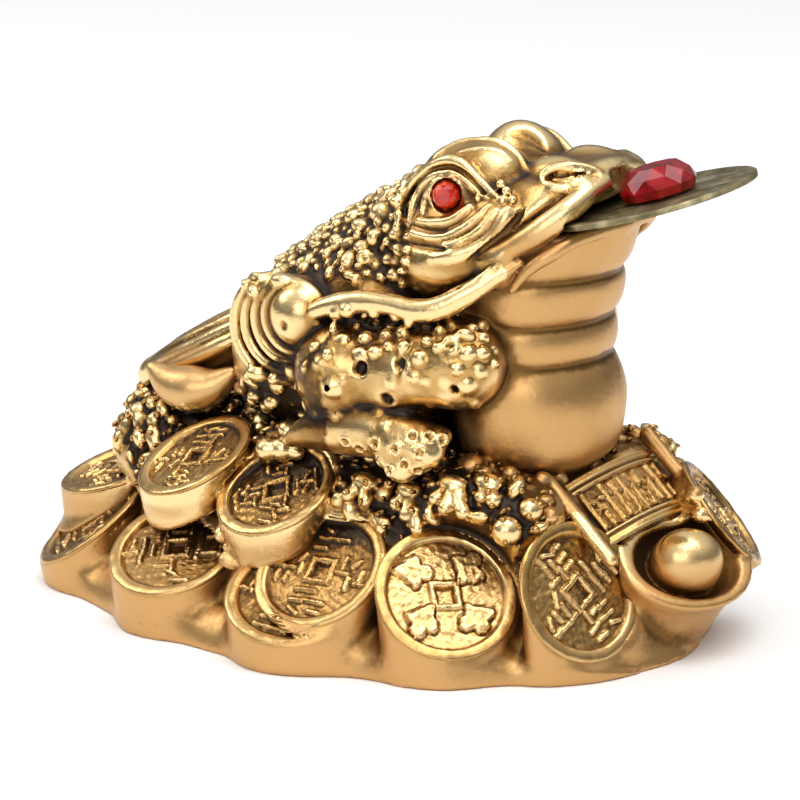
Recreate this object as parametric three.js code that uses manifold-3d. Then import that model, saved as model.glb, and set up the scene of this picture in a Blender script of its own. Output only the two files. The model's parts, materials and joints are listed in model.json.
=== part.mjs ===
// Money toad: a three-legged toad of cast resin, painted gold, that sits on a heap of coins.
// A thin brass coin is held in its mouth, with a red faceted gem on it, and the eyes are red gems.
// Millimetres. X is forward, Y is to the toad's left, Z is up. The origin is the middle of the underside.
import * as THREE from 'three';
import { ConvexGeometry } from 'three/addons/geometries/ConvexGeometry.js';
import { mergeVertices } from 'three/addons/utils/BufferGeometryUtils.js';
import Module from 'manifold-3d';

const wasm = await Module();
wasm.setup();

// The toad
const FIGURE_HEIGHT = 56; // ground to the top of the brows
const BODY_WIDTH = 30;
const HEAD_WIDTH = 25;
const WART_SIZE = 2.2;

// The heap of coins
const HEAP_LENGTH = 79;
const HEAP_WIDTH = 55;
const HEAP_TOP = 22; // ground to the toad's seat
const LOWER_COIN_DIAMETER = 15.5;
const UPPER_COIN_DIAMETER = 14;
const COIN_RIM_WIDTH = 1.4;
const COIN_RELIEF = 0.6;
const COIN_HOLE = 2.6;
const COIN_FRAME = 0.7; // width of the raised frame round the hole
const COIN_TAPER = 0.86; // a coin block's foot as a share of its face
const INGOT_LENGTH = 16.8;
const INGOT_WIDTH = 12.4;
const INGOT_RIM = 1.6;
const SCROLL_WIDTH = 15.8;
const SCROLL_LENGTH = 8.6;
const SCROLL_ROD = 1.6;
const SCROLL_SPIN = -11; // degrees, on the heap's side
const BEAD_DIAMETER = 3.2;

// The coin in the mouth and the three gems
const MOUTH_COIN_DIAMETER = 22;
const MOUTH_COIN_THICKNESS = 1;
const MOUTH_COIN_RIM_WIDTH = 1.3;
const MOUTH_COIN_RELIEF = 0.15;
const MOUTH_COIN_TILT = 15.5; // degrees, with its front edge up
const MOUTH_COIN_ROLL = 4.5; // degrees, with its right edge down
const MOUTH_COIN_GRIP = 6.2; // how far it is pushed into the mouth
const COIN_GEM_WIDTH = 8.7;
const COIN_GEM_HEIGHT = 3.1;
const COIN_GEM_AHEAD = 0.6; // from the coin's middle towards its front edge
const EYE_GEM_DIAMETER = 3;
const EYE_GEM_HEIGHT = 1.5;
const EYE_GEM_SEAT = 0.7; // how deep an eye gem sits in its socket
const FIT_GAP = 0.3; // glue gap around what is set into the casting

const GOLD = { color: 0xb8863c, roughness: 0.35, metalness: 0.9 };
const BRASS = { color: 0x6f6440, roughness: 0.45, metalness: 0.8 };
const RED = { color: 0xc01020, roughness: 0.1, metalness: 0 };

const RIGHT = -1;
const LEFT = 1;
const UP = new THREE.Vector3(0, 0, 1);
const SIDEWAYS = new THREE.Vector3(0, 1, 0);
const rad = THREE.MathUtils.degToRad;

// The toad is drawn on a grid of 56 units from the ground to the top of its brows
const GRID = FIGURE_HEIGHT / 56;
const at = (x, y, z) => new THREE.Vector3(x, y, z).multiplyScalar(GRID);

// A closed three.js geometry as a solid
function solid(geometry) {
  const bare = geometry.clone();
  bare.deleteAttribute('normal');
  bare.deleteAttribute('uv');
  const merged = mergeVertices(bare, 1e-4);
  const order = merged.index.array;
  const corners = [];
  for (let i = 0; i < order.length; i += 3) {
    const [a, b, c] = [order[i], order[i + 1], order[i + 2]];
    if (a !== b && b !== c && c !== a) corners.push(a, b, c);
  }
  return new wasm.Manifold(new wasm.Mesh({
    numProp: 3,
    vertProperties: new Float32Array(merged.attributes.position.array),
    triVerts: new Uint32Array(corners),
  }));
}

const joined = (solids) => solids.reduce((whole, piece) => whole.add(piece));

// Moves every point of a geometry by a function
function reshaped(geometry, move) {
  const points = geometry.attributes.position;
  const point = new THREE.Vector3();
  for (let i = 0; i < points.count; i++) {
    point.fromBufferAttribute(points, i);
    const moved = move(point);
    points.setXYZ(i, moved.x, moved.y, moved.z);
  }
  return solid(geometry);
}

// Turns a shape that is built flat round the origin to face a direction, and moves it to its place
function facing(geometry, place, direction, spin = 0) {
  geometry.rotateZ(rad(spin));
  geometry.applyQuaternion(new THREE.Quaternion().setFromUnitVectors(UP, direction));
  geometry.translate(place.x, place.y, place.z);
  return solid(geometry);
}

// A turned ellipsoid: centre and radii on the grid, turn in degrees about X, Y and Z
function blob(centre, radii, turn = [0, 0, 0], sides = 16, rows = 10) {
  const geometry = new THREE.SphereGeometry(1, sides, rows);
  geometry.rotateX(Math.PI / 2);
  geometry.scale(radii[0] * GRID, radii[1] * GRID, radii[2] * GRID);
  geometry.rotateX(rad(turn[0]));
  geometry.rotateY(rad(turn[1]));
  geometry.rotateZ(rad(turn[2]));
  geometry.translate(centre.x, centre.y, centre.z);
  return solid(geometry);
}

// A number read from a list of values at a share of its length
function along(values, share) {
  const place = share * (values.length - 1);
  const i = Math.min(Math.floor(place), values.length - 2);
  return THREE.MathUtils.lerp(values[i], values[i + 1], place - i);
}

// A round-ended limb along a smooth curve, with a radius on the grid at each point.
// Flat is its thickness as a share of its width, measured along the direction given as thin.
function limb(points, radii, { sides = 8, steps = 8, flat = 1, thin = UP, ends = 2 } = {}) {
  const curve = new THREE.CatmullRomCurve3(points);
  return reshaped(new THREE.CapsuleGeometry(1, 2, ends, sides, steps), (p) => {
    const share = THREE.MathUtils.clamp((p.y + 1) / 2, 0, 1);
    const overshoot = p.y - THREE.MathUtils.clamp(p.y, -1, 1);
    const radius = along(radii, share) * GRID;
    const ahead = curve.getTangent(share);
    const across = new THREE.Vector3().crossVectors(ahead, thin).normalize();
    const over = new THREE.Vector3().crossVectors(across, ahead);
    return curve.getPoint(share)
      .addScaledVector(ahead, overshoot * radius)
      .addScaledVector(across, p.x * radius)
      .addScaledVector(over, p.z * radius * flat);
  });
}

// A form lofted through rings. Each ring has a centre, two half-sizes and how far it reaches below.
function loft(rings, sides, placed) {
  const rows = rings.length - 1;
  return reshaped(new THREE.CylinderGeometry(1, 1, 1, sides, rows), (p) => {
    const ring = rings[Math.round((0.5 - p.y) * rows)];
    return placed(ring, p.x, -p.z);
  });
}

// Rings that stand across the toad: x, top, bottom and half of the width
const across = (ring, side, rise) => {
  const middle = (ring.top + ring.bottom) / 2;
  const reach = (ring.top - ring.bottom) / 2;
  return at(ring.x, ring.half * side, middle + reach * rise);
};

// Rings that lie flat: height, middle, half of the length and half of the width
const level = (ring, ahead, side) => at(ring.x + ring.long * ahead, ring.half * side, ring.z);

// The back from the neck to the rump on the grid: its height, and its share of the width
const NECK = 9;
const RUMP = -18;
const BACK_TOP = [51, 49.7, 47.4, 44, 40.2, 34.2];
const BACK_HALF = [0.7, 0.93, 0.94, 0.88, 0.76, 0.46];
const BODY_SEAT = 20.5;

// The body's ring at a share of the way from the neck to the rump
function backRing(share) {
  const half = along(BACK_HALF, share) * BODY_WIDTH / 2 / GRID;
  return { x: NECK + (RUMP - NECK) * share, top: along(BACK_TOP, share), bottom: BODY_SEAT, half };
}

function body() {
  const rings = BACK_TOP.map((top, i) => backRing(i / (BACK_TOP.length - 1)));
  return loft(rings, 14, across);
}

// The throat and belly, a bulging column between the arms with three folds across it
function throat() {
  return loft([
    { z: 47.2, x: 17.4, long: 11.4, half: 11.6 },
    { z: 41.6, x: 16.9, long: 10.4, half: 11.2 },
    { z: 40.4, x: 16.8, long: 9.7, half: 10.8 },
    { z: 38, x: 16.9, long: 9.7, half: 10.9 },
    { z: 35.2, x: 16.6, long: 8.7, half: 10.4 },
    { z: 32.8, x: 16.9, long: 8.8, half: 10.5 },
    { z: 31, x: 17, long: 8.1, half: 10 },
    { z: 28, x: 17.7, long: 9, half: 10.6 },
    { z: 24.6, x: 17.9, long: 8.9, half: 10.2 },
    { z: 19, x: 17.2, long: 5.6, half: 7 },
  ], 14, level);
}

function head() {
  const half = HEAD_WIDTH / 2 / GRID;
  return loft([
    { x: 28.2, top: 53.6, bottom: 51.4, half: 0.2 * half },
    { x: 27, top: 54.2, bottom: 50, half: 0.45 * half },
    { x: 24.6, top: 54.4, bottom: 47.6, half: 0.68 * half },
    { x: 21, top: 54, bottom: 44.6, half: 0.9 * half },
    { x: 15, top: 53.8, bottom: 41, half: half },
    { x: 8, top: 52.6, bottom: 39, half: 0.96 * half },
    { x: 1, top: 49.5, bottom: 38, half: 0.8 * half },
  ], 14, across);
}

// The bulge over an eye, and the point inside it that the eye looks out from
const EYE_MOUND = at(12.6, 5.6, 49.7);
const EYE_MIDDLE = at(11.2, 5.9, 49.7);
const EYE_REACH = 5.4;
const EYE_LOOK = new THREE.Vector3(0.25, 0.95, 0.17).normalize();

const sided = (point, side) => new THREE.Vector3(point.x, point.y * side, point.z);

// Where an eye gem's seat is, and which way the gem looks
function eye(side) {
  const look = sided(EYE_LOOK, side);
  const seat = sided(EYE_MIDDLE, side).addScaledVector(look, EYE_REACH * GRID);
  return { seat, look };
}

function eyeMound(side) {
  const { seat, look } = eye(side);
  const lid = new THREE.TorusGeometry(EYE_GEM_DIAMETER * 0.8, 0.6 * GRID, 3, 9);
  const brow = limb([
    at(7.6, 11.6 * side, 45.4), at(5.2, 10 * side, 48), at(7.6, 8.4 * side, 53.2),
    at(13, 8.2 * side, 54.6), at(18.8, 8.8 * side, 50.8),
  ], [0.7, 0.9, 1.1, 1, 0.7], { sides: 4, steps: 5, ends: 1 });
  return joined([
    blob(sided(EYE_MOUND, side), [6.3, 5.3, 6.3], [0, 0, 0], 10, 6),
    facing(lid, seat, look),
    brow,
  ]);
}

function cheek(side) {
  return blob(at(12.6, 9.4 * side, 43.2), [6.8, 4.4, 4.2], [0, -12, 0], 10, 5);
}

function snoutBump(side) {
  return blob(at(22.6, 4.1 * side, 52.7), [4.2, 2.9, 2.7], [0, 8, 0], 8, 6);
}

// The lips, and the ridge that runs back from the corner of the mouth along the shoulder
function lips(side) {
  const upper = limb([
    at(28.2, -0.5 * side, 51.6), at(27.4, 4 * side, 50.9), at(25.4, 8 * side, 47.9),
    at(21.8, 11 * side, 44.2), at(18.6, 13.2 * side, 41), at(14.7, 14.6 * side, 39),
    at(10.3, 15.6 * side, 39.6), at(6.2, 15.8 * side, 40.4), at(2.6, 15.8 * side, 39.6),
    at(-0.6, 15.4 * side, 38.2),
  ], [1, 1, 1, 1.1, 1.3, 1.3, 1.2, 1.1, 0.9, 0.5], { sides: 4, steps: 11, ends: 1 });
  const lower = limb([
    at(28.4, -0.5 * side, 47), at(27.2, 5 * side, 46.8), at(24.6, 9 * side, 44.9),
    at(21.6, 11.6 * side, 42),
  ], [0.8, 0.8, 0.8, 0.6], { sides: 4, steps: 4, ends: 1 });
  return upper.add(lower);
}

// An arm: a thick upper arm from shoulder to elbow, a forearm below it and a hand of three toes
function arm(side) {
  const upperArm = limb([
    at(15.4, 11.6 * side, 33), at(11, 13.2 * side, 32.4), at(6.6, 13.6 * side, 31.2),
    at(1.8, 14 * side, 30.4),
  ], [5, 5.2, 4.6, 5.9], { sides: 9, steps: 3 });
  const forearm = limb([
    at(-4.4, 15.8 * side, 22.6), at(1.2, 15.4 * side, 24.8), at(7, 15.2 * side, 25),
    at(11.6, 14.8 * side, 23.8),
  ], [1.1, 3.4, 3.6, 2.7], { sides: 6, steps: 3, ends: 1 });
  const wrist = at(10.4, 14.8 * side, 24);
  const tips = [at(15.8, 13.2 * side, 25), at(15.2, 15.4 * side, 22.6), at(11.8, 16.8 * side, 20.6)];
  const toes = tips.map((tip) => limb([wrist, tip], [2.1, 1.9], { sides: 4, steps: 1, flat: 0.8, ends: 1 }));
  return joined([upperArm, forearm, ...toes]);
}

// The folded hind leg of a side: a thigh, and a round knee with ring-like folds behind and below it
function haunch(side) {
  const knee = 3.2;
  const foldCount = 4;
  const foldStep = 0.55;
  const profile = [[0, 2.6], [1.9, 2], [2.9, 0.8], [knee, -0.5]];
  for (let i = 1; i <= foldCount; i++) {
    profile.push([knee + foldStep * (i - 0.4), 0.3 - 0.4 * i], [knee + foldStep * i, -0.4 - 0.4 * i]);
  }
  profile.push([0, -5]);
  const turned = new THREE.LatheGeometry(profile.reverse().map(([x, y]) => new THREE.Vector2(x, y)), 11);
  const look = new THREE.Vector3(0.05, side, 0.05).normalize();
  const out = new THREE.Quaternion().setFromUnitVectors(SIDEWAYS, look);
  const place = at(-3.4, 15.5 * side, 36.8);
  const shell = reshaped(turned, (p) => {
    const behind = Math.max(0, Math.hypot(p.x, p.z) - knee);
    const point = p.clone().multiplyScalar(GRID).applyQuaternion(out);
    return point.add(at(-1.45 * behind, 0, -0.9 * behind)).add(place);
  });
  return shell.add(blob(at(-9, 7.4 * side, 29.4), [8, 4.4, 6.6], [0, 24, 0], 9, 5));
}

// The single hind leg lies flat behind the body, like a thick leaf
function hindLeg() {
  return limb([
    at(-12, 0, 33.4), at(-18, 0, 30.3), at(-23.4, 0, 27.4), at(-28.4, 0, 25), at(-32, 0, 23.6),
  ], [4.6, 5.2, 5.2, 4.6, 3], { sides: 8, steps: 4, flat: 0.62, ends: 1 });
}

// Warts in staggered rows over the back, on the body's own curve, from an angle up each flank
const WART_START = 45;

function warts() {
  const found = [];
  const rowCount = 4;
  const gap = 24; // degrees round the back between one wart and the next
  for (let row = 0; row < rowCount; row++) {
    const ring = backRing(0.24 + 0.7 * row / (rowCount - 1));
    for (let turn = WART_START + gap / 2 * (row % 2); turn < 180 - WART_START; turn += gap) {
      const point = across(ring, 0.98 * Math.cos(rad(turn)), 0.98 * Math.sin(rad(turn)));
      const wart = new THREE.OctahedronGeometry(WART_SIZE / 2, 0);
      found.push(facing(wart, point, UP, turn));
    }
  }
  return joined(found);
}

// How high the heap stands at a share of the way from its middle to its rim, as a share of its top
const heapHeight = (reach) => (1 - Math.min(1, reach) ** 5) ** 1.2;

// A place on the heap: degrees round from straight ahead, the share of the way to the rim,
// and the height as a share of the heap's top
function onHeap(turn, reach, height) {
  return new THREE.Vector3(
    HEAP_LENGTH / 2 * reach * Math.cos(rad(turn)),
    HEAP_WIDTH / 2 * reach * Math.sin(rad(turn)),
    HEAP_TOP * height,
  );
}

// The direction straight out of the heap's side, swung round and raised by angles
function outward(turn, raise, swing = 0) {
  const round = Math.atan2(Math.sin(rad(turn)) / HEAP_WIDTH, Math.cos(rad(turn)) / HEAP_LENGTH) + rad(swing);
  const flat = Math.cos(rad(raise));
  return new THREE.Vector3(flat * Math.cos(round), flat * Math.sin(round), Math.sin(rad(raise)));
}

// The dome that the coins lean on, as shares of the heap's length and width
const DOME_LENGTH = 0.92 * HEAP_LENGTH;
const DOME_WIDTH = 0.8 * HEAP_WIDTH;

function dome() {
  const steps = 5;
  const profile = [new THREE.Vector2(0, -1), new THREE.Vector2(1, -1)];
  for (let i = 1; i <= steps; i++) {
    const reach = Math.cos(Math.PI / 2 * i / steps) ** 0.5;
    profile.push(new THREE.Vector2(reach, HEAP_TOP * heapHeight(reach)));
  }
  const turned = new THREE.LatheGeometry(profile, 16);
  turned.rotateX(Math.PI / 2);
  turned.scale(DOME_LENGTH / 2, DOME_WIDTH / 2, 1);
  return solid(turned);
}

// A round mound on the heap, with its half-sizes as shares of the heap's length, width and top
function mound(turn, reach, height, long, wide, deep) {
  const radii = [long * HEAP_LENGTH / GRID, wide * HEAP_WIDTH / GRID, deep * HEAP_TOP / GRID];
  return blob(onHeap(turn, reach, height), radii, [0, 0, 0], 9, 5);
}

// The mounds under the nuggets on each side of the belly, under the scroll, under the hind leg
// and between the right thigh and the coins
function mounds() {
  return joined([
    mound(-38, 0.54, 0.72, 0.12, 0.15, 0.245),
    mound(36, 0.64, 0.58, 0.127, 0.17, 0.38),
    mound(12, 0.62, 0.4, 0.085, 0.19, 0.39),
    mound(180, 0.69, 0.66, 0.118, 0.17, 0.42),
    mound(-118, 0.44, 0.8, 0.055, 0.065, 0.22),
  ]);
}

// A block of the heap: its rim is a closed line in the plane of a face. Its foot is smaller by a
// share and nearer the heap's middle by another, and it is on the ground or a given distance down.
function block(rim, place, taper, inward, footing) {
  const middle = new THREE.Vector3(place.x * (1 - inward), place.y * (1 - inward), place.z);
  const points = [];
  for (const point of rim) {
    points.push(place.clone().add(point));
    const foot = middle.clone().addScaledVector(point, taper);
    points.push(foot.setZ(footing === undefined ? -1 : foot.z - footing));
  }
  return solid(new ConvexGeometry(points));
}

function oval(halfLong, halfWide, sides, direction, spin = 0) {
  const turned = new THREE.Quaternion().setFromUnitVectors(UP, direction);
  const line = new THREE.EllipseCurve(0, 0, halfLong, halfWide, 0, 2 * Math.PI, false, rad(spin));
  const corners = line.getPoints(sides).slice(0, sides);
  return corners.map((p) => new THREE.Vector3(p.x, p.y, 0).applyQuaternion(turned));
}

// A coin set in the heap's side as a block, with a hollow field, a framed square hole and,
// where it shows, a raised stroke on each side of the hole
function heapCoin(coin) {
  const place = onHeap(coin.turn, coin.reach, coin.height);
  const direction = outward(coin.turn, coin.raise, coin.swing);
  const radius = coin.diameter / 2;
  const field = radius - COIN_RIM_WIDTH;
  const frame = COIN_HOLE / 2 + COIN_FRAME;
  const flat = new THREE.CylinderGeometry(field, field, 2 * COIN_RELIEF, coin.sides);
  flat.rotateX(Math.PI / 2);
  const raised = [];
  const raise = (x, y, wide, long, turn) => {
    const slab = new THREE.BoxGeometry(wide, long, COIN_RELIEF);
    slab.translate(x, y, -0.8 * COIN_RELIEF);
    slab.rotateZ(rad(turn));
    raised.push(facing(slab, place, direction, coin.spin));
  };
  if (coin.frame) raise(0, 0, 2 * frame, 2 * frame, 0);
  for (let i = 0; coin.strokes && i < 4; i++) {
    raise(0, (field + frame) / 2, 0.9 * frame, 0.5 * (field - frame), 90 * i);
  }
  const hole = new THREE.BoxGeometry(COIN_HOLE, COIN_HOLE, 4 * COIN_RELIEF);
  const edge = oval(radius, radius, coin.sides, direction);
  const hollowed = block(edge, place, COIN_TAPER, coin.inward, coin.footing)
    .subtract(facing(flat, place, direction));
  return joined([hollowed, ...raised]).subtract(facing(hole, place, direction, coin.spin));
}

// The coins of the heap: first the right side from front to back, then the back and the left side
const LOWER = {
  diameter: LOWER_COIN_DIAMETER, reach: 0.84, height: 0.4, raise: 50, swing: 0, spin: 0, inward: 0, sides: 8,
};
const UPPER = { ...LOWER, diameter: UPPER_COIN_DIAMETER, raise: 58, footing: 5 };
const SHOWN = { ...LOWER, sides: 12, frame: true };
const COINS = [
  { ...SHOWN, turn: -27.5, height: 0.42, raise: 25, swing: 15, spin: 10, strokes: true },
  { ...SHOWN, turn: -57, reach: 0.82, height: 0.42, raise: 41, swing: 21, spin: 45, strokes: true },
  { ...SHOWN, turn: -84.5, reach: 0.77, height: 0.47, raise: 48, swing: -7 },
  { ...LOWER, turn: -89, reach: 0.81, height: 0.34, raise: 60, swing: 20, sides: 12 },
  { ...SHOWN, turn: -123.5, reach: 0.81, height: 0.42, raise: 60, swing: 25, spin: 20 },
  { ...SHOWN, turn: -161, reach: 0.967, height: 0.34, raise: 52.5, swing: 12, spin: 30 },
  { ...LOWER, turn: -175.3, reach: 0.92, height: 0.566, raise: 72, swing: 33, sides: 12 },
  { ...LOWER, turn: 150, reach: 0.9, raise: 55, swing: -10 },
  { ...LOWER, turn: 118, reach: 0.84, raise: 55, swing: -10, spin: 15 },
  { ...LOWER, turn: 88, reach: 0.8, raise: 50 },
  { ...LOWER, turn: 59, raise: 42, spin: 30 },
  { ...LOWER, turn: 33, reach: 0.79, height: 0.34, raise: 44 },
  { ...UPPER, turn: 26, reach: 0.975, height: 0.62, raise: 38.5, swing: -6.5, inward: 0.2, footing: 7 },
  { ...UPPER, turn: -131.5, reach: 0.69, height: 0.85, raise: 60.5, swing: 4, sides: 12, frame: true },
  { ...UPPER, turn: -103.5, reach: 0.62, height: 0.78, raise: 56, swing: 2, spin: 25, sides: 12, frame: true },
];

// An ingot: an oval block, the front one with a hollow and a round lump in it
function ingot({ turn, reach, height, raise, swing, spin, long, wide, taper, inward, footing, open }) {
  const place = onHeap(turn, reach, height);
  const direction = outward(turn, raise, swing);
  const form = block(oval(long / 2, wide / 2, 12, direction, spin), place, taper, inward, footing);
  if (!open) return form;
  const bowl = new THREE.SphereGeometry(1, 9, 4);
  bowl.scale(long / 2 - INGOT_RIM, wide / 2 - INGOT_RIM, 0.24 * wide);
  const lump = new THREE.SphereGeometry(1, 8, 4);
  lump.scale(0.28 * long, 0.3 * wide, 0.34 * wide);
  return form.subtract(facing(bowl, place, direction, spin)).add(facing(lump, place, direction, spin));
}

const FRONT_INGOT = { long: INGOT_LENGTH, wide: INGOT_WIDTH, taper: 0.62, inward: 0.12, open: true };
const REAR_INGOT = { long: 0.63 * INGOT_LENGTH, wide: 0.45 * INGOT_WIDTH, taper: 0.7, inward: 0, footing: 6 };
const INGOTS = [
  { ...FRONT_INGOT, turn: 4, reach: 0.903, height: 0.48, raise: 48, swing: -30, spin: 60 },
  { ...REAR_INGOT, turn: -157, reach: 0.64, height: 1.15, raise: 76, swing: 62, spin: 8 },
];

// The scroll: an arched sheet between two rods
function scroll() {
  const middle = onHeap(5, 0.715, 0.755);
  const direction = outward(10, 48, -37);
  const arch = 0.5 * SCROLL_WIDTH;
  const outline = new THREE.Shape();
  outline.absellipse(0, -0.3 * arch, arch, 0.46 * arch, 0, Math.PI, false, 0);
  const sheet = new THREE.ExtrudeGeometry(outline, {
    depth: SCROLL_LENGTH, bevelEnabled: false, curveSegments: 7,
  });
  sheet.translate(0, 0, -SCROLL_LENGTH / 2);
  sheet.rotateX(Math.PI / 2);
  sheet.rotateZ(Math.PI / 2);
  const parts = [facing(sheet, middle, direction, SCROLL_SPIN)];
  for (const end of [RIGHT, LEFT]) {
    const rod = new THREE.CylinderGeometry(SCROLL_ROD / 2, SCROLL_ROD / 2, 1.3 * SCROLL_LENGTH, 6);
    rod.rotateZ(Math.PI / 2);
    rod.translate(0, end * arch, 0.02 * arch);
    parts.push(facing(rod, middle, direction, SCROLL_SPIN));
  }
  return joined(parts);
}

// Round beads on the mounds: turn, reach, height and size
const BEADS = [
  [-43, 0.78, 0.735, 1.2], [-38, 0.8, 0.83, 1], [-112, 0.5, 1.02, 1], [26, 0.6, 0.97, 1],
  [33, 0.79, 0.9, 1], [-173, 0.86, 0.9, 0.9], [-173, 0.88, 0.78, 0.9], [-172, 0.9, 0.66, 0.9],
  [166, 0.87, 0.72, 0.9],
];

// Nuggets with three lobes, on the mounds beside the belly: turn, reach and height
const NUGGETS = [[-57, 0.71, 0.84], [-47, 0.76, 0.83], [-38, 0.76, 0.88], [52, 0.72, 0.84]];

function bead([turn, reach, height, size]) {
  const ball = new THREE.IcosahedronGeometry(BEAD_DIAMETER / 2 * size, 0);
  return facing(ball, onHeap(turn, reach, height), UP);
}

function nugget([turn, reach, height]) {
  const lobes = [];
  for (let i = 0; i < 3; i++) {
    const lobe = new THREE.OctahedronGeometry(0.5 * BEAD_DIAMETER, 0);
    lobe.translate(0.3 * BEAD_DIAMETER, 0, 0);
    lobes.push(facing(lobe, onHeap(turn, reach, height), UP, 2 * turn + 120 * i));
  }
  return joined(lobes);
}

// The coin's middle, its tilt and how it faces
const COIN_TILT = rad(MOUTH_COIN_TILT);
const COIN_AHEAD = new THREE.Vector3(Math.cos(COIN_TILT), 0, Math.sin(COIN_TILT));
const COIN_UP = new THREE.Vector3(-Math.sin(COIN_TILT), 0, Math.cos(COIN_TILT))
  .applyAxisAngle(COIN_AHEAD, rad(MOUTH_COIN_ROLL));
const MOUTH_BACK = at(27.65, 0, 49.1).addScaledVector(COIN_AHEAD, -MOUTH_COIN_GRIP);
const COIN_MIDDLE = MOUTH_BACK.clone().addScaledVector(COIN_AHEAD, MOUTH_COIN_DIAMETER / 2);

function mouthCoin(gap = 0) {
  const radius = MOUTH_COIN_DIAMETER / 2 + gap;
  const half = MOUTH_COIN_THICKNESS / 2 + gap;
  const field = half - MOUTH_COIN_RELIEF;
  const inner = radius - MOUTH_COIN_RIM_WIDTH;
  const rim = gap > 0 ? [] : [[0, field], [inner, field], [inner, half]];
  const upper = [...rim, [gap > 0 ? 0 : radius, half], [radius, half]];
  const lower = upper.map(([x, y]) => [x, -y]).reverse();
  const profile = [...upper, ...lower].reverse().map(([x, y]) => new THREE.Vector2(x, y));
  const turned = new THREE.LatheGeometry(profile, gap > 0 ? 16 : 24);
  turned.rotateX(Math.PI / 2);
  return facing(turned, COIN_MIDDLE, COIN_UP);
}

// The dark opening between the lips, round the coin
function mouthOpening() {
  const wedge = new THREE.SphereGeometry(1, 10, 5);
  wedge.rotateX(Math.PI / 2);
  wedge.scale(7.5 * GRID, 10.6 * GRID, 1.5 * GRID);
  return facing(wedge, at(24, 0, 48.3), COIN_UP);
}

function toadCasting() {
  const form = joined([
    dome(), mounds(), ...COINS.map(heapCoin), ...INGOTS.map(ingot), scroll(),
    ...BEADS.map(bead), ...NUGGETS.map(nugget),
    body(), throat(), head(), hindLeg(), warts(),
    ...[RIGHT, LEFT].flatMap((side) => [
      eyeMound(side), cheek(side), snoutBump(side), lips(side), arm(side), haunch(side),
    ]),
  ]);
  const ground = new THREE.BoxGeometry(2 * HEAP_LENGTH, 2 * HEAP_WIDTH, 20);
  ground.translate(0, 0, -10);
  const cuts = [
    mouthOpening(), mouthCoin(FIT_GAP), coinGem(FIT_GAP), eyeSocket(RIGHT), eyeSocket(LEFT), solid(ground),
  ];
  return cuts.reduce((left, cut) => left.subtract(cut), form);
}

// An eye gem and the socket that it sits in, both built flat round the origin
function eyeSocket(side) {
  const { seat, look } = eye(side);
  const radius = EYE_GEM_DIAMETER / 2 + FIT_GAP;
  const pit = new THREE.CylinderGeometry(radius, radius, 2 * (EYE_GEM_SEAT + FIT_GAP), 12);
  pit.rotateX(Math.PI / 2);
  return facing(pit, seat, look);
}

function eyeGem(side) {
  const { seat, look } = eye(side);
  const radius = EYE_GEM_DIAMETER / 2;
  const profile = [[0, 0], [1, 0], [1, 0.3], [0.8, 0.8], [0.45, 1], [0, 1]].map(([share, rise]) =>
    new THREE.Vector2(share * radius, rise * EYE_GEM_HEIGHT));
  const gem = new THREE.LatheGeometry(profile, 10);
  gem.rotateX(Math.PI / 2);
  gem.translate(0, 0, -EYE_GEM_SEAT);
  return facing(gem, seat, look);
}

// The gem on the coin: a flat back, a low girdle, sloping facets and a flat table.
// A gap makes it larger all round, to clear the lip behind it.
function coinGem(gap = 0) {
  const radius = COIN_GEM_WIDTH / 2;
  const profile = [[0, 0], [0.9, 0], [1, 0.28], [0.66, 1], [0, 1]].map(([share, rise]) => new THREE.Vector2(
    share * (radius + 1.4 * gap), COIN_GEM_HEIGHT * rise + 2 * gap * (rise - 0.5)));
  const gem = new THREE.LatheGeometry(profile, 10);
  gem.rotateX(Math.PI / 2);
  const field = MOUTH_COIN_THICKNESS / 2 - MOUTH_COIN_RELIEF;
  const place = COIN_MIDDLE.clone().addScaledVector(COIN_AHEAD, COIN_GEM_AHEAD);
  return facing(gem, place.addScaledVector(COIN_UP, field + FIT_GAP), COIN_UP);
}

function named(name, form, look) {
  const { vertProperties, triVerts } = form.getMesh();
  const indexed = new THREE.BufferGeometry();
  indexed.setAttribute('position', new THREE.BufferAttribute(vertProperties, 3));
  indexed.setIndex(new THREE.BufferAttribute(triVerts, 1));
  const geometry = indexed.toNonIndexed();
  geometry.computeVertexNormals();
  const mesh = new THREE.Mesh(geometry, new THREE.MeshStandardMaterial(look));
  mesh.name = name;
  return mesh;
}

const moneyToad = new THREE.Group();
moneyToad.add(
  named('toad_casting', toadCasting(), GOLD),
  named('mouth_coin', mouthCoin(), BRASS),
  named('coin_gem', coinGem(), RED),
  named('eye_gem_right', eyeGem(RIGHT), RED),
  named('eye_gem_left', eyeGem(LEFT), RED),
);

export default moneyToad;
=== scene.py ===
# %% [markdown]
# # A cast money toad on its heap of coins
#
# The real object is one small casting of resin, painted gold, with a dark wash left in its hollows.
# A thin brass coin sits in the toad's mouth, and three red stones are glued on. This lesson builds the
# casting as digital clay: simple forms are pressed into a block of space, small marks are pressed and
# carved on top, and the block is then given a skin of faces. It suits a sculpted thing better than
# joining mesh primitives, because every form melts a little into the next, as it does in a mould.

import json
import math

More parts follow.
